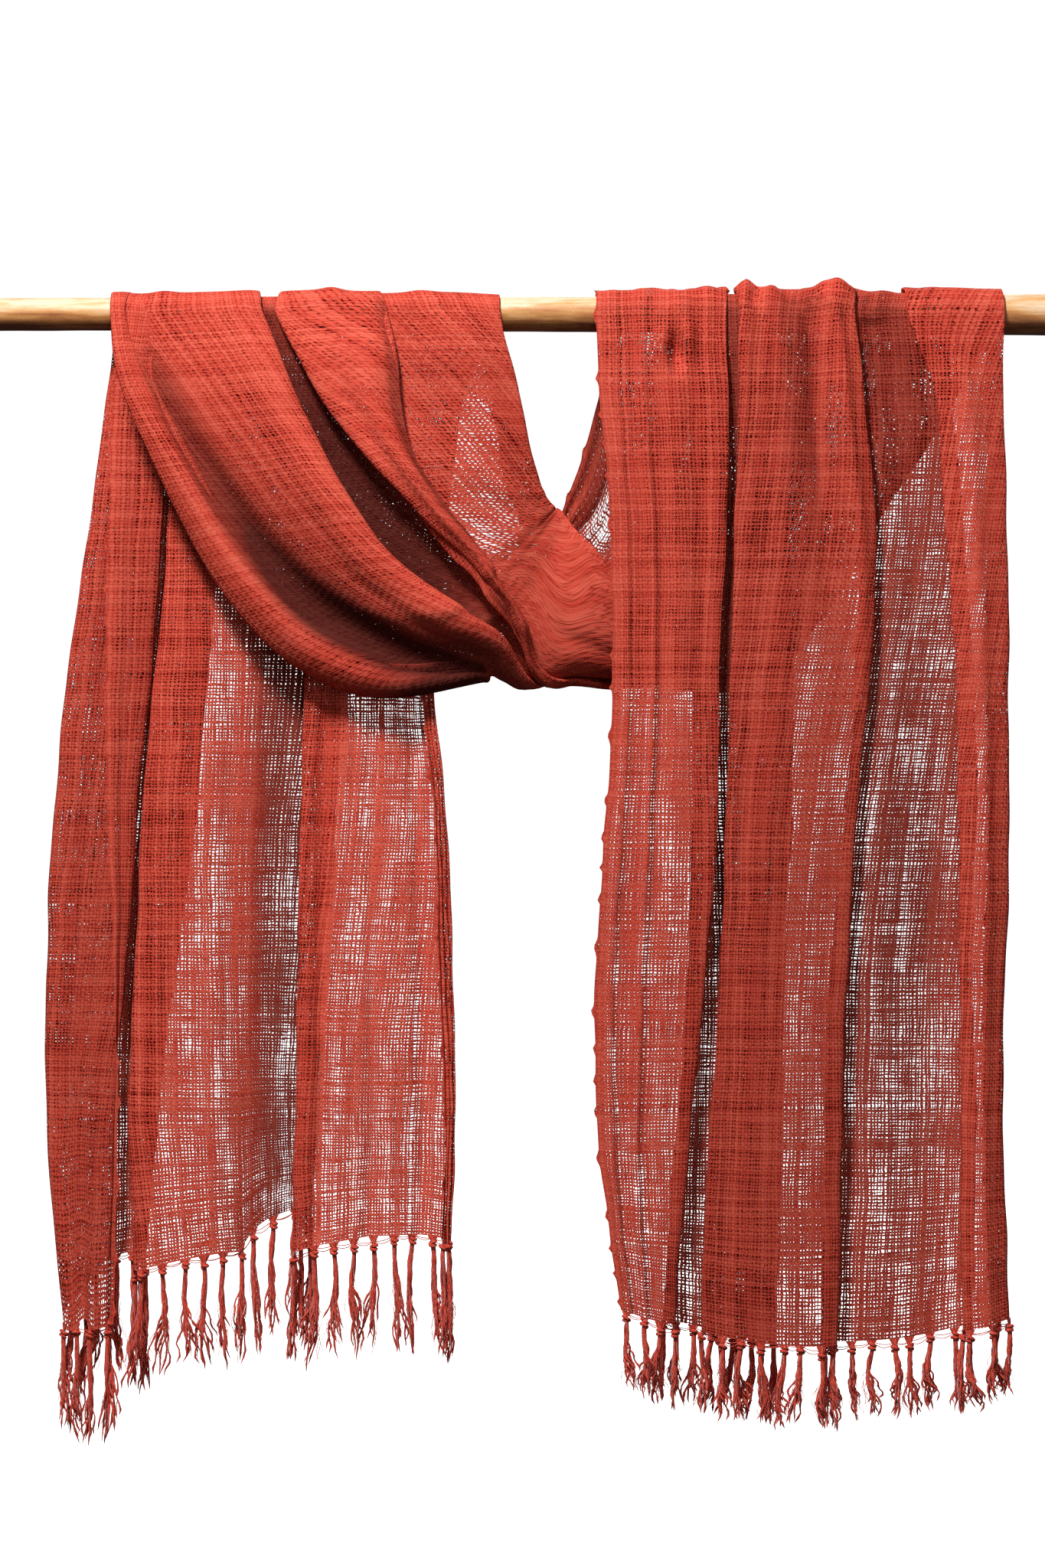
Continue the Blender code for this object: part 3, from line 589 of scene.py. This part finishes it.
weave = {
    # metres from thread to thread; the real wefts lie about 1.9 mm apart, which is too fine to
    # show in a small render
    "pitch": 0.0022,
    "followRows": 120,  # rows averaged on either side
    "cover": 0.332,  # half width of a thread in cells
    "own": 0.16,  # thick and thin threads
    "jitter": 0.30,
    "slub": 0.17,
    "thinnest": 0.12,
    "softEdge": 0.08,
    "density": 0.46,  # close and open patches
    "drift": 2.2,
    "shake": 0.7,
    "driftScales": ((70.0, 9.0), (9.0, 70.0)),
    "shakeScales": (260.0, 260.0),
    "streakScales": (105.0, 11.0),
    "bandScales": (12.0, 120.0),
    "patchScales": (34.0, 17.0),
    # reds from the painted shade at a thread's edges to the painted highlight on its crown
    "colors": ((0.10, "#6C160F"), (0.42, "#9E2A1E"), (0.70, "#BA3D2D"), (0.98, "#D05B48")),
    "bump": 0.5,
    "depth": 0.0008,  # metres
}


def stretchedNoise(tree, uv, scales, detail):
    # noise of the weave coordinates, with its own number of blotches per metre each way
    scaled = addNode(tree, "Mapping", uv, {"Scale": (scales[0], scales[1], 1.0)})
    return addNode(tree, "TexNoise", scaled, {"Scale": 1.0, "Detail": detail, "Roughness": 0.55})


def weightedSum(tree, *parts):
    # first value times its weight, plus the second times its weight, and so on
    total = None
    for value, weight in parts:
        share = addNode(tree, "Math MULTIPLY", value, weight)
        total = share if total is None else addNode(tree, "Math ADD", total, share)
    return total


def threadSet(tree, place, other, density, salt):
    # parallel threads: number = floor of the place, and a thread shows where the place lies
    # within its own half width of the middle of its cell; slubs make it swell along its length
    number = addNode(tree, "Math ADD", addNode(tree, "Math FLOOR", place), salt)
    chance = addNode(tree, "TexWhiteNoise", {"W": number}, noise_dimensions="1D")
    own = chance.outputs["Value"]
    moved = addNode(tree, "SeparateXYZ", chance.outputs["Color"]).outputs[1]
    shifted = addNode(tree, "Math MULTIPLY", moved, weave["jitter"])
    middle = addNode(tree, "Math ADD", shifted, 0.5 - weave["jitter"] / 2)
    fromMiddle = addNode(tree, "Math SUBTRACT", addNode(tree, "Math FRACT", place), middle)
    offset = addNode(tree, "Math ABSOLUTE", fromMiddle)
    slubAcross = addNode(tree, "Math MULTIPLY", number, 5.37)
    slubAlong = addNode(tree, "Math MULTIPLY", other, 0.11)
    slubPlace = addNode(tree, "CombineXYZ", slubAcross, slubAlong)
    slub = addNode(tree, "TexNoise", slubPlace, {"Scale": 1.0, "Detail": 2.0, "Roughness": 0.6})
    smooth = {"interpolation_type": "SMOOTHSTEP"}
    swell = addNode(tree, "MapRange", slub, 0.30, 0.75, -0.05, weave["slub"], **smooth)
    half = addNode(tree, "Math ADD", addNode(tree, "Math MULTIPLY", own, weave["own"]), density)
    half = addNode(tree, "Math MAXIMUM", addNode(tree, "Math ADD", half, swell), weave["thinnest"])
    inner = addNode(tree, "Math SUBTRACT", half, weave["softEdge"])
    mask = addNode(tree, "MapRange", offset, inner, half, 1.0, 0.0, **smooth)
    outwards = addNode(tree, "Math DIVIDE", offset, half, use_clamp=True)
    crown = addNode(tree, "Math SUBTRACT", 1.0, addNode(tree, "Math POWER", outwards, 2.0))
    return number, mask, crown, own


def weaveMaterial():
    # hand-woven slubby silk gauze, almost matt: thick and thin threads, open holes between them;
    # its colour carries painted shade inside the folds and painted highlight and shade on each thread
    material, tree, shader = newMaterial("silkGauze")
    uv = addNode(tree, "UVMap", uv_map="weave")
    flat = addNode(tree, "SeparateXYZ", uv)
    dense = addNode(tree, "Attribute", attribute_name="dense").outputs["Fac"]
    # painted shade inside the folds, read from the attribute the cloth carries
    fade = addNode(tree, "Attribute", attribute_name="shade").outputs["Fac"]
    places = []
    for axis, scales in enumerate(weave["driftScales"]):
        drift = stretchedNoise(tree, uv, scales, 3.0)
        shake = stretchedNoise(tree, uv, weave["shakeScales"], 1.0)
        place = weightedSum(
            tree,
            (flat.outputs[axis], 1.0 / weave["pitch"]),
            (drift, weave["drift"]),
            (shake, weave["shake"]),
        )
        places.append(place)
    streaks = stretchedNoise(tree, uv, weave["streakScales"], 3.0)
    bands = stretchedNoise(tree, uv, weave["bandScales"], 2.0)
    patches = stretchedNoise(tree, uv, weave["patchScales"], 3.0)
    density = weightedSum(tree, (streaks, 0.54), (bands, 0.14), (patches, 0.32))
    uneven = addNode(tree, "Math SUBTRACT", density, 0.5)
    spread = addNode(tree, "Math MULTIPLY", uneven, weave["density"] * 2)
    half = addNode(tree, "Math ADD", spread, weave["cover"] - weave["own"] / 2)
    half = addNode(tree, "Math ADD", half, dense)
    warpNumber, warpMask, warpCrown, warpOwn = threadSet(tree, places[0], places[1], half, 11.0)
    weftNumber, weftMask, weftCrown, weftOwn = threadSet(tree, places[1], places[0], half, 505.0)
    # plain weave: the warp lies on top where both thread numbers add up to an odd number
    crossing = addNode(tree, "Math ABSOLUTE", addNode(tree, "Math ADD", warpNumber, weftNumber))
    parity = addNode(tree, "Math MODULO", crossing, 2.0)
    warpLift = weightedSum(tree, (parity, 0.4), (warpCrown, 0.6))
    under = addNode(tree, "Math SUBTRACT", 1.0, parity)
    weftLift = weightedSum(tree, (under, 0.4), (weftCrown, 0.6))
    warpHeight = addNode(tree, "Math MULTIPLY", warpMask, warpLift)
    weftHeight = addNode(tree, "Math MULTIPLY", weftMask, weftLift)
    height = addNode(tree, "Math MAXIMUM", warpHeight, weftHeight)
    tint = addNode(tree, "Math ADD", warpOwn, weftOwn)
    # painted highlight and shade: a thread is painted lighter on its crown and darker at its edges and
    # where it dips under; the thick and thin tint and the patches are the threads' own uneven red
    toneAndPaintedLight = weightedSum(tree, (height, 0.62), (tint, 0.16), (patches, 0.16))
    color = addNode(tree, "ValToRGB", toneAndPaintedLight, stops=weave["colors"])
    # painted shade: the colour is scaled by one less the fold shade
    light = addNode(tree, "Math SUBTRACT", 1.0, fade)
    feedSockets(tree, shader, {
        "Base Color": addNode(tree, "VectorMath SCALE", color, {"Scale": light}),
        "Alpha": addNode(tree, "Math MAXIMUM", warpMask, weftMask),
        "Roughness": 0.82,
        "Sheen Weight": 0.03,
        "Sheen Roughness": 0.45,
        "Sheen Tint": linear("#F08A70"),
        "Specular IOR Level": 0.12,
        "Normal": addNode(tree, "Bump", {
            "Strength": weave["bump"], "Distance": weave["depth"], "Height": height,
        }),
    })
    return material


def yarnMaterial():
    # soft fluffy silk yarn of the tassels: matt, with light and dark hairs, here 0.7 mm wide and
    # 4.5 mm long, coarser than real ones so that they show
    material, tree, shader = newMaterial("silkYarn")
    where = addNode(tree, "TexCoord").outputs["Object"]
    stretched = addNode(tree, "Mapping", where, {"Scale": (1.0, 1.0, 0.16)})
    hair = addNode(tree, "TexNoise", stretched, {"Scale": 1400.0, "Detail": 3.0})
    stops = ((0.3, "#962419"), (0.52, "#C8412E"), (0.75, "#DF6A54"))
    feedSockets(tree, shader, {
        "Base Color": addNode(tree, "ValToRGB", hair, stops=stops),
        "Roughness": 0.85,
        "Sheen Weight": 0.3,
        "Sheen Roughness": 0.4,
        "Specular IOR Level": 0.2,
        "Normal": addNode(tree, "Bump", {"Strength": 0.6, "Distance": 0.0004, "Height": hair}),
    })
    return material


def woodMaterial():
    # peeled natural stick, honey coloured, with grain and blotches; painted highlight makes its top cream
    # and painted shade makes its underside brown; grain drawn 3 mm wide and 48 mm long, coarser than real
    # so that it shows, and blotches of 11 by 38 mm
    material, tree, shader = newMaterial("peeledStick")
    where = addNode(tree, "TexCoord").outputs["Object"]
    grainPlace = addNode(tree, "Mapping", where, {"Scale": (0.07, 1.0, 1.0)})
    grain = addNode(tree, "TexNoise", grainPlace, {"Scale": 300.0, "Detail": 3.0, "Roughness": 0.55})
    blotchPlace = addNode(tree, "Mapping", where, {"Scale": (0.28, 1.0, 1.0)})
    blotch = addNode(tree, "TexNoise", blotchPlace, {"Scale": 95.0, "Detail": 4.0, "Roughness": 0.6})
    height = addNode(tree, "SeparateXYZ", where).outputs[2]
    # painted highlight and shade: 0 on top of the stick and 1 beneath it, so the top is painted paler and
    # the underside darker
    under = addNode(tree, "MapRange", height, 0.009, -0.010, 0.0, 1.0, interpolation_type="SMOOTHSTEP")
    toneAndPaintedLight = weightedSum(tree, (under, 0.28), (grain, 0.42), (blotch, 0.40))
    # cream where the top is painted in highlight, dark brown where the underside is painted in shade
    stops = ((0.40, "#DCC2A2"), (0.50, "#D0995E"), (0.60, "#B5743C"), (0.74, "#7A4429"))
    feedSockets(tree, shader, {
        "Base Color": addNode(tree, "ValToRGB", toneAndPaintedLight, stops=stops),
        "Roughness": 0.5,
        "Normal": addNode(tree, "Bump", {"Strength": 0.15, "Distance": 0.0008, "Height": grain}),
    })
    return material


silkGauze = weaveMaterial()
silkYarn = yarnMaterial()
peeledStick = woodMaterial()
print("materials made")


def meshPiece(name, points, quads, material, uv=None, values=None):
    # points in millimetres; uv holds one pair and values one number for each point
    mesh = bpy.data.meshes.new(name)
    mesh.from_pydata((points.reshape(-1, 3) * mm).tolist(), [], quads.tolist())
    mesh.polygons.foreach_set("use_smooth", np.ones(len(quads), bool))
    if uv is not None:
        layer = mesh.uv_layers.new(name="weave")
        layer.data.foreach_set("uv", uv.reshape(-1, 2)[quads.ravel()].ravel())
    for key, numbers in (values or {}).items():
        attribute = mesh.attributes.new(key, "FLOAT", "POINT")
        attribute.data.foreach_set("value", numbers.ravel())
    mesh.materials.append(material)
    mesh.update()
    piece = bpy.data.objects.new(name, mesh)
    bpy.context.collection.objects.link(piece)
    return piece


def gridMesh(name, grid, material, uv=None, values=None):
    # a quad lies between each two neighbouring rows and two neighbouring columns
    height, width = grid.shape[:2]
    corner = (np.arange(height - 1)[:, None] * width + np.arange(width - 1)[None]).ravel()
    quads = np.column_stack((corner, corner + 1, corner + width + 1, corner + width))
    return meshPiece(name, grid, quads, material, uv, values)


# how much closer the threads stand on the rod, in the gather and in the close panels; less than
# 0 is more open
# Columns: line, section, reach in lines, reach in sections, added half width
closer = (
    (6.75, 2.0, 0.42, 3.2, 0.10),
    (9.75, 4.2, 0.3, 2.2, 0.07),
    (9.45, 3.0, 0.2, 2.5, 0.05),
    (7.75, 1.5, 0.35, 3.0, -0.04),
    (1.0, 3.0, 1.4, 6.0, 0.05),
    (4.0, 3.0, 1.2, 6.0, 0.05),
    (8.0, 17.0, 40.0, 6.0, 0.11),
    (11.45, 18.0, 0.42, 2.0, -0.10),
    (11.5, 21.3, 1.2, 1.5, 0.16),
    (8.0, 38.0, 40.0, 7.0, 0.03),
    (10.2, 38.0, 0.9, 7.0, 0.05),
    (14.0, 38.0, 0.9, 7.0, 0.05),
    (0.5, 38.0, 2.0, 7.0, 0.03),
    (1.9, 24.9, 0.4, 0.5, -0.3),
    (7.0, 20.7, 1.5, 1.1, 0.16),
    (7.2, 19.8, 1.0, 0.8, 0.12),
    (2.9, 19.0, 0.7, 3.0, 0.07),
    (3.4, 20.8, 1.4, 1.1, 0.16),
    (11.5, 39.0, 0.35, 3.0, -0.03),
    (8.0, 24.0, 40.0, 2.2, 0.14),
    (8.0, 11.0, 40.0, 2.6, 0.08),
    (8.0, 31.5, 40.0, 2.6, 0.08),
)
# painted shade: how much darker the colour is painted where the cloth lies in the shade of a fold
# Columns: line, section, reach in lines, reach in sections, depth from 0 to 1
paintedFoldShade = (
    (6.9, 17.4, 1.0, 4.3, 0.86),
    (5.4, 17.8, 0.8, 4.6, 0.86),
    (1.4, 25.4, 1.6, 1.3, 0.5),
    (8.0, 40.0, 40.0, 6.0, 0.12),
    (10.6, 15.0, 0.25, 2.0, 0.3),
    (2.82, 16.6, 0.3, 2.4, 0.6),
    (2.95, 19.3, 0.4, 1.8, 0.8),
    (3.25, 18.6, 0.5, 2.6, 0.25),
    (1.4, 20.6, 2.0, 0.9, 0.5),
    (1.0, 18.0, 0.9, 3.5, 0.25),
    (3.6, 21.6, 0.35, 1.4, 0.4),
    (10.3, 21.3, 0.4, 1.6, 0.4),
    (7.5, 3.0, 0.7, 5.0, 0.66),
    (11.5, 17.5, 1.0, 3.5, 0.08),
    (6.5, 38.0, 1.4, 6.0, 0.48),
    (1.0, 3.0, 1.0, 5.0, 0.22),
    (9.3, 40.0, 0.7, 6.0, 0.15),
    (11.5, 36.6, 0.5, 4.6, 0.4),
    (11.3, 41.0, 0.4, 3.0, 0.2),
    (9.5, 34.6, 0.14, 2.4, 0.3),
    (9.97, 16.5, 0.12, 3.6, 0.55),
    (1.9, 20.9, 1.0, 0.7, 0.5),
)


def patchTotal(table):
    # sum of flat-topped humps: exp of minus the fourth power of the distance over the reach
    total = np.zeros(across.shape)
    for line, row, lineReach, rowReach, added in table:
        far = ((lineOf[None] - line) / lineReach) ** 2 + ((rowOf[:, None] - row) / rowReach) ** 2
        total += added * np.exp(-(far**2))
    return total


selvedge = {"width": 7.0, "added": 0.22}  # millimetres, added half width
deepestShade = 0.86
edgeBand = np.minimum(across, across[:, -1:] - across)
nearEdge = np.clip(1.0 - edgeBand / selvedge["width"], 0.0, 1.0)
closeness = patchTotal(closer) + nearEdge * selvedge["added"]
# painted shade inside the folds, which the material takes off the cloth's colour
foldShade = np.clip(patchTotal(paintedFoldShade), 0.0, deepestShade)
# the threads run with the cloth: their place across is an average over many rows
weaveUv = np.dstack((smoothLines(across, weave["followRows"]), along)) * mm
pieceNames = ("clothLeft", "clothSwag", "clothRise", "clothRight")
nodeNames = ("left_tail", "swag", "right_rise", "right_tail")
for name, node, first, last in zip(pieceNames, nodeNames, seams, seams[1:]):
    part = slice(first, last + 1)
    values = {"dense": closeness[part], "shade": foldShade[part]}
    piece = gridMesh(name, points[part], silkGauze, weaveUv[part], values)
    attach(piece, "root")
    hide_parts(node)
    print(name, "quads", len(piece.data.polygons))


stick = {"rings": 220, "sides": 64, "roughness": 0.25, "peel": 0.2, "edge": 0.93}


def stickGrid():
    # radius = tapered radius + small bumps that vary round and along the stick; a ring a little
    # smaller and a point on the axis close each end
    x = np.linspace(rod["start"], rod["end"], stick["rings"])[:, None]
    angle = np.linspace(0, 2 * math.pi, stick["sides"] + 1)[None]
    bumps = np.sin(x / 23 + 2 * np.sin(angle)) + np.sin(x / 57 + 3 * np.cos(angle) + 1)
    bumps = bumps + 0.5 * np.sin(x / 7 + 4 * np.sin(angle + 1))
    radius = rodRadius(x) - stick["peel"] + stick["roughness"] * bumps / 2.5
    rings = np.dstack((x + 0 * angle, radius * np.cos(angle), radius * np.sin(angle)))
    ends = rings[[0, -1]] * np.array((1, stick["edge"], stick["edge"]))
    middles = rings[[0, -1]] * np.array((1, 0, 0))
    return np.vstack((middles[:1], ends[:1], rings, ends[1:], middles[1:]))


stickPiece = gridMesh("stick", stickGrid()[:, ::-1], peeledStick)
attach(stickPiece, "root")
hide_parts("rod")
print("stick made")


fringe = {
    "tassels": 36,
    "yarns": 20,
    "fineYarns": 7,
    "sides": 4,
    "steps": 19,
    "yarnRadius": 0.72,
    "fineRadius": 0.18,
    "sway": 3.0,
    "knotDrop": 5.0,
    "knotShare": 0.14,
    "knotYarn": 1.35,
    "knotRadius": 2.5,
    "rootSpread": 0.5,
    "loopSag": 3.5,
    "loopRadius": 0.32,
    "lengths": (85.0, 58.0),  # left and right fall, of which each yarn takes its own share
    "splay": 6.6,
}


def tubeMesh(name, paths, radii, material):
    # tubes round whole arrays of paths: ring point = path + radius times two side directions
    count, steps = paths.shape[:2]
    sides = fringe["sides"]
    way = unit(np.gradient(paths, axis=1))
    sideA = unit(np.cross(way, np.array((0.3, 1.0, 0.2))))
    sideB = np.cross(way, sideA)
    angle = np.linspace(0, 2 * math.pi, sides, endpoint=False)
    outwards = np.cos(angle)[:, None] * sideA[:, :, None] + np.sin(angle)[:, None] * sideB[:, :, None]
    rings = paths[:, :, None] + radii[:, :, None, None] * outwards
    base = (np.arange(count)[:, None, None] * steps + np.arange(steps - 1)[None, :, None]) * sides
    side = np.arange(sides)[None, None]
    following = (side + 1) % sides
    corners = (base + side, base + following, base + sides + following, base + sides + side)
    return meshPiece(name, rings, np.stack(corners, axis=3).reshape(-1, 4), material)


def tasselPaths(hem, outwardWay, fall, random):
    # each yarn leaves the hem, meets its neighbours at the knot, then splays and waves as it falls
    steps = np.linalg.norm(np.diff(hem, axis=0), axis=1)
    travelled = np.concatenate(((0,), np.cumsum(steps)))
    pitch = travelled[-1] / fringe["tassels"]
    tassels = fringe["tassels"]
    middles = (np.arange(tassels) + 0.5) * pitch + random.uniform(-2.6, 2.6, tassels)

    def at(distances, lines):
        return np.stack([np.interp(distances, travelled, lines[:, axis]) for axis in range(3)], axis=-1)

    yarns = fringe["yarns"]
    spread = (np.arange(yarns) + 0.5) / yarns - 0.5
    rootPlaces = middles[:, None] + spread[None] * pitch * fringe["rootSpread"]
    roots = at(rootPlaces, hem)
    knots = at(middles, hem)
    away = unit(at(middles, outwardWay) * np.array((1, 1, 0)))
    side = np.cross(away, np.array((0, 0, 1.0)))
    drop = fringe["knotDrop"] + random.uniform(-1.5, 2.5, tassels)
    knots = knots - drop[:, None] * np.array((0, 0, 1.0))
    t = np.linspace(0, 1, fringe["steps"])
    each = (tassels, yarns)
    turn = random.uniform(0, 2 * math.pi, each)
    reach = random.uniform(0.2, 1.0, each) ** 0.7 * fringe["splay"]
    lengths = (fall - drop)[:, None] * random.uniform(0.62, 1.04, each)
    lengths = lengths * random.uniform(0.86, 1.0, (tassels, 1))
    lean = random.uniform(-5.0, 5.0, tassels)
    fine = np.arange(yarns) >= yarns - fringe["fineYarns"]
    leaves = random.uniform(0.2, 0.95, (tassels, yarns, 1))
    leaves = np.where(fine[None, :, None], leaves * 0.5, leaves)
    # the first part of each path runs from the hem to the knot, the rest falls below it
    knot = fringe["knotShare"]
    below = np.clip((t - knot) / (1 - knot), 0, 1)[None, None]
    above = np.clip(1 - t / knot, 0, 1)[None, None]
    loose = np.clip((below - leaves) / 0.6, 0, 1)
    single = (tassels, 1, 1)
    twist = turn[:, :, None] + below * random.uniform(3, 9, single)
    core = (0.9 + 1.1 * below) * np.where(t > 0.12, 1.0, 0.0)
    swing = random.uniform(2.5, 6, single)
    sway = np.sin(below * swing + random.uniform(0, 6, single)) * fringe["sway"] * below
    swayAway = np.cos(below * random.uniform(2, 5, single)) * fringe["sway"] * 0.6 * below
    curl = np.sin(below * random.uniform(10, 26, (tassels, yarns, 1)) + turn[:, :, None])
    free = reach[:, :, None] * loose
    outSide = np.cos(twist) * core + np.cos(turn)[:, :, None] * free + curl * (0.35 * below + 1.3 * loose)
    outAway = np.sin(twist) * core + np.sin(turn)[:, :, None] * free * 0.6 + curl * 0.5 * below
    outSide = outSide + sway + lean[:, None, None] * below
    outAway = outAway + swayAway
    paths = (
        knots[:, None, None] * (1 - above[..., None])
        + roots[:, :, None] * above[..., None]
        + side[:, None, None] * outSide[..., None]
        + away[:, None, None] * outAway[..., None]
        - np.array((0, 0, 1.0)) * (lengths[:, :, None] * below)[..., None]
    )
    thick = np.where(fine, fringe["fineRadius"], fringe["yarnRadius"])[None, :, None]
    lumps = np.sin(t * 31 + turn[:, :, None]) * random.uniform(0.3, 1, (tassels, yarns, 1))
    radii = thick * (1 + 0.35 * lumps)
    radii = radii * np.where(t > 0.97, 0.3, 1.0)[None, None]
    radii = np.broadcast_to(radii, paths.shape[:3]).reshape(-1, fringe["steps"])
    return paths.reshape(-1, fringe["steps"], 3), radii, knots, side, away


def knotPaths(knots, side, away, random):
    # a knot: a small loop that circles the bundle about one and a half times
    t = np.linspace(0, 1, fringe["steps"])[None]
    turn = t * 3.2 * math.pi + random.uniform(0, 6, (len(knots), 1))
    radius = fringe["knotRadius"] * (0.62 + 0.25 * np.sin(t * math.pi))
    paths = (
        knots[:, None]
        + side[:, None] * (np.cos(turn) * radius)[..., None]
        + away[:, None] * (np.sin(turn) * radius)[..., None]
        + np.array((0, 0, 1.0)) * ((0.5 - t) * 4.2 + 0.8 * np.sin(turn))[..., None]
    )
    radii = np.full(paths.shape[:2], fringe["knotYarn"])
    radii[:, 0] = 0.3
    radii[:, -1] = 0.3
    return paths, radii


def weftLoops(knots, random):
    # the last weft threads sag between neighbouring tassels: a chord less a parabola
    t = np.linspace(0, 1, fringe["steps"])[None, :, None]
    start = knots[:-1, None] + np.array((0, 0, 4.0))
    end = knots[1:, None] + np.array((0, 0, 4.0))
    paths = []
    for share in (1.0, 0.45):
        sag = fringe["loopSag"] * share * random.uniform(0.5, 1.2, (len(knots) - 1, 1, 1))
        paths.append(start * (1 - t) + end * t - np.array((0, 0, 1.0)) * sag * 4 * t * (1 - t))
    paths = np.vstack(paths)
    return paths, np.full(paths.shape[:2], fringe["loopRadius"])


for name, node, row, fall in (
    ("tasselsLeft", "left_fringe", 0, fringe["lengths"][0]),
    ("tasselsRight", "right_fringe", -1, fringe["lengths"][1]),
):
    random = np.random.default_rng(seed + int(fall))
    hem = points[row]
    ahead = points[1] - points[0] if row == 0 else points[-1] - points[-2]
    outwardWay = unit(np.cross(ahead, np.gradient(hem, axis=0)))
    yarnPaths, yarnRadii, knots, side, away = tasselPaths(hem, outwardWay, fall, random)
    rings, ringRadii = knotPaths(knots, side, away, random)
    loops, loopRadii = weftLoops(knots, random)
    paths = np.vstack((yarnPaths, rings, loops))
    piece = tubeMesh(name, paths, np.vstack((yarnRadii, ringRadii, loopRadii)), silkYarn)
    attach(piece, "root")
    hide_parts(node)
    print(name, "quads", len(piece.data.polygons))

studio = {
    "cameraDistance": 2.2,
    "cameraHeight": -0.3249,
    "lens": 73.0,
    "floorHeight": -0.92,
    "coveRadius": 8.0,
    "coveBend": 1.0,
    "coveTop": 6.0,
    "bendSteps": 12,
    "wallSteps": 73,
    "paperColor": "#B8B8B8",
    "paperGlow": 1.0,
    "airLight": 0.05,
}


def stageMaterial(name, color, glow):
    # plain pale paper, self-lit so that it stays white behind the cloth
    material, tree, shader = newMaterial(name)
    feedSockets(tree, shader, {
        "Base Color": linear(color),
        "Roughness": 0.9,
        "Emission Color": linear("#FFFFFF"),
        "Emission Strength": glow,
    })
    return material


def sweepStage():
    # a round paper cove: profile of flat floor, quarter round and upright wall, turned about z
    turn = np.linspace(0, math.pi / 2, studio["bendSteps"])
    bend = studio["coveBend"]
    reach = studio["coveRadius"]
    floor = studio["floorHeight"]
    radius = np.concatenate(((0.001,), reach - bend + bend * np.sin(turn), (reach,)))
    height = np.concatenate(((floor,), floor + bend - bend * np.cos(turn), (studio["coveTop"],)))
    angle = np.linspace(0, 2 * math.pi, studio["wallSteps"])[:, None]
    grid = np.dstack((radius * np.cos(angle), radius * np.sin(angle), height + 0 * angle))
    return gridMesh("cove", grid / mm, stageMaterial("paper", studio["paperColor"], studio["paperGlow"]))


sweep = sweepStage()
sweep.visible_diffuse = False
sweep.visible_glossy = False


def areaLight(name, place, target, size, power):
    light = bpy.data.lights.new(name, "AREA")
    light.shape = "RECTANGLE"
    light.size = size[0]
    light.size_y = size[1]
    light.energy = power
    item = bpy.data.objects.new(name, light)
    bpy.context.collection.objects.link(item)
    item.location = place
    way = np.asarray(target) - np.asarray(place)
    item.rotation_euler = (
        math.atan2(math.hypot(way[0], way[1]), -way[2]),
        0.0,
        math.atan2(way[1], way[0]) - math.pi / 2,
    )
    return item


areaLight("key", (-0.7, -1.55, 1.75), (0, 0, -0.25), (0.45, 0.45), 104)
areaLight("fill", (0.6, -2.4, 0.2), (0, 0, -0.35), (1.2, 1.2), 7)
areaLight("low", (0.2, -1.7, -1.4), (0, 0, -0.2), (1.0, 0.6), 7)
areaLight("rear", (0.4, 2.3, 0.9), (0, 0, -0.35), (1.2, 1.2), 40)

world = bpy.data.worlds.new("studio")
bpy.context.scene.world = world
world.use_nodes = True
world.node_tree.nodes["Background"].inputs[0].default_value = (1, 1, 1, 1)
world.node_tree.nodes["Background"].inputs[1].default_value = studio["airLight"]
bpy.context.scene.view_settings.view_transform = "Standard"
bpy.context.scene.cycles.transparent_max_bounces = 32
bpy.context.scene.cycles.use_denoising = False

cameraData = bpy.data.cameras.new("camera")
camera = bpy.data.objects.new("camera", cameraData)
bpy.context.collection.objects.link(camera)
camera.location = (0, -studio["cameraDistance"], studio["cameraHeight"])
camera.rotation_euler = (math.pi / 2, 0, 0)
cameraData.sensor_fit = "VERTICAL"
cameraData.sensor_height = 36.0
cameraData.lens = studio["lens"]
bpy.context.scene.camera = camera
print("stage, lights and camera set")
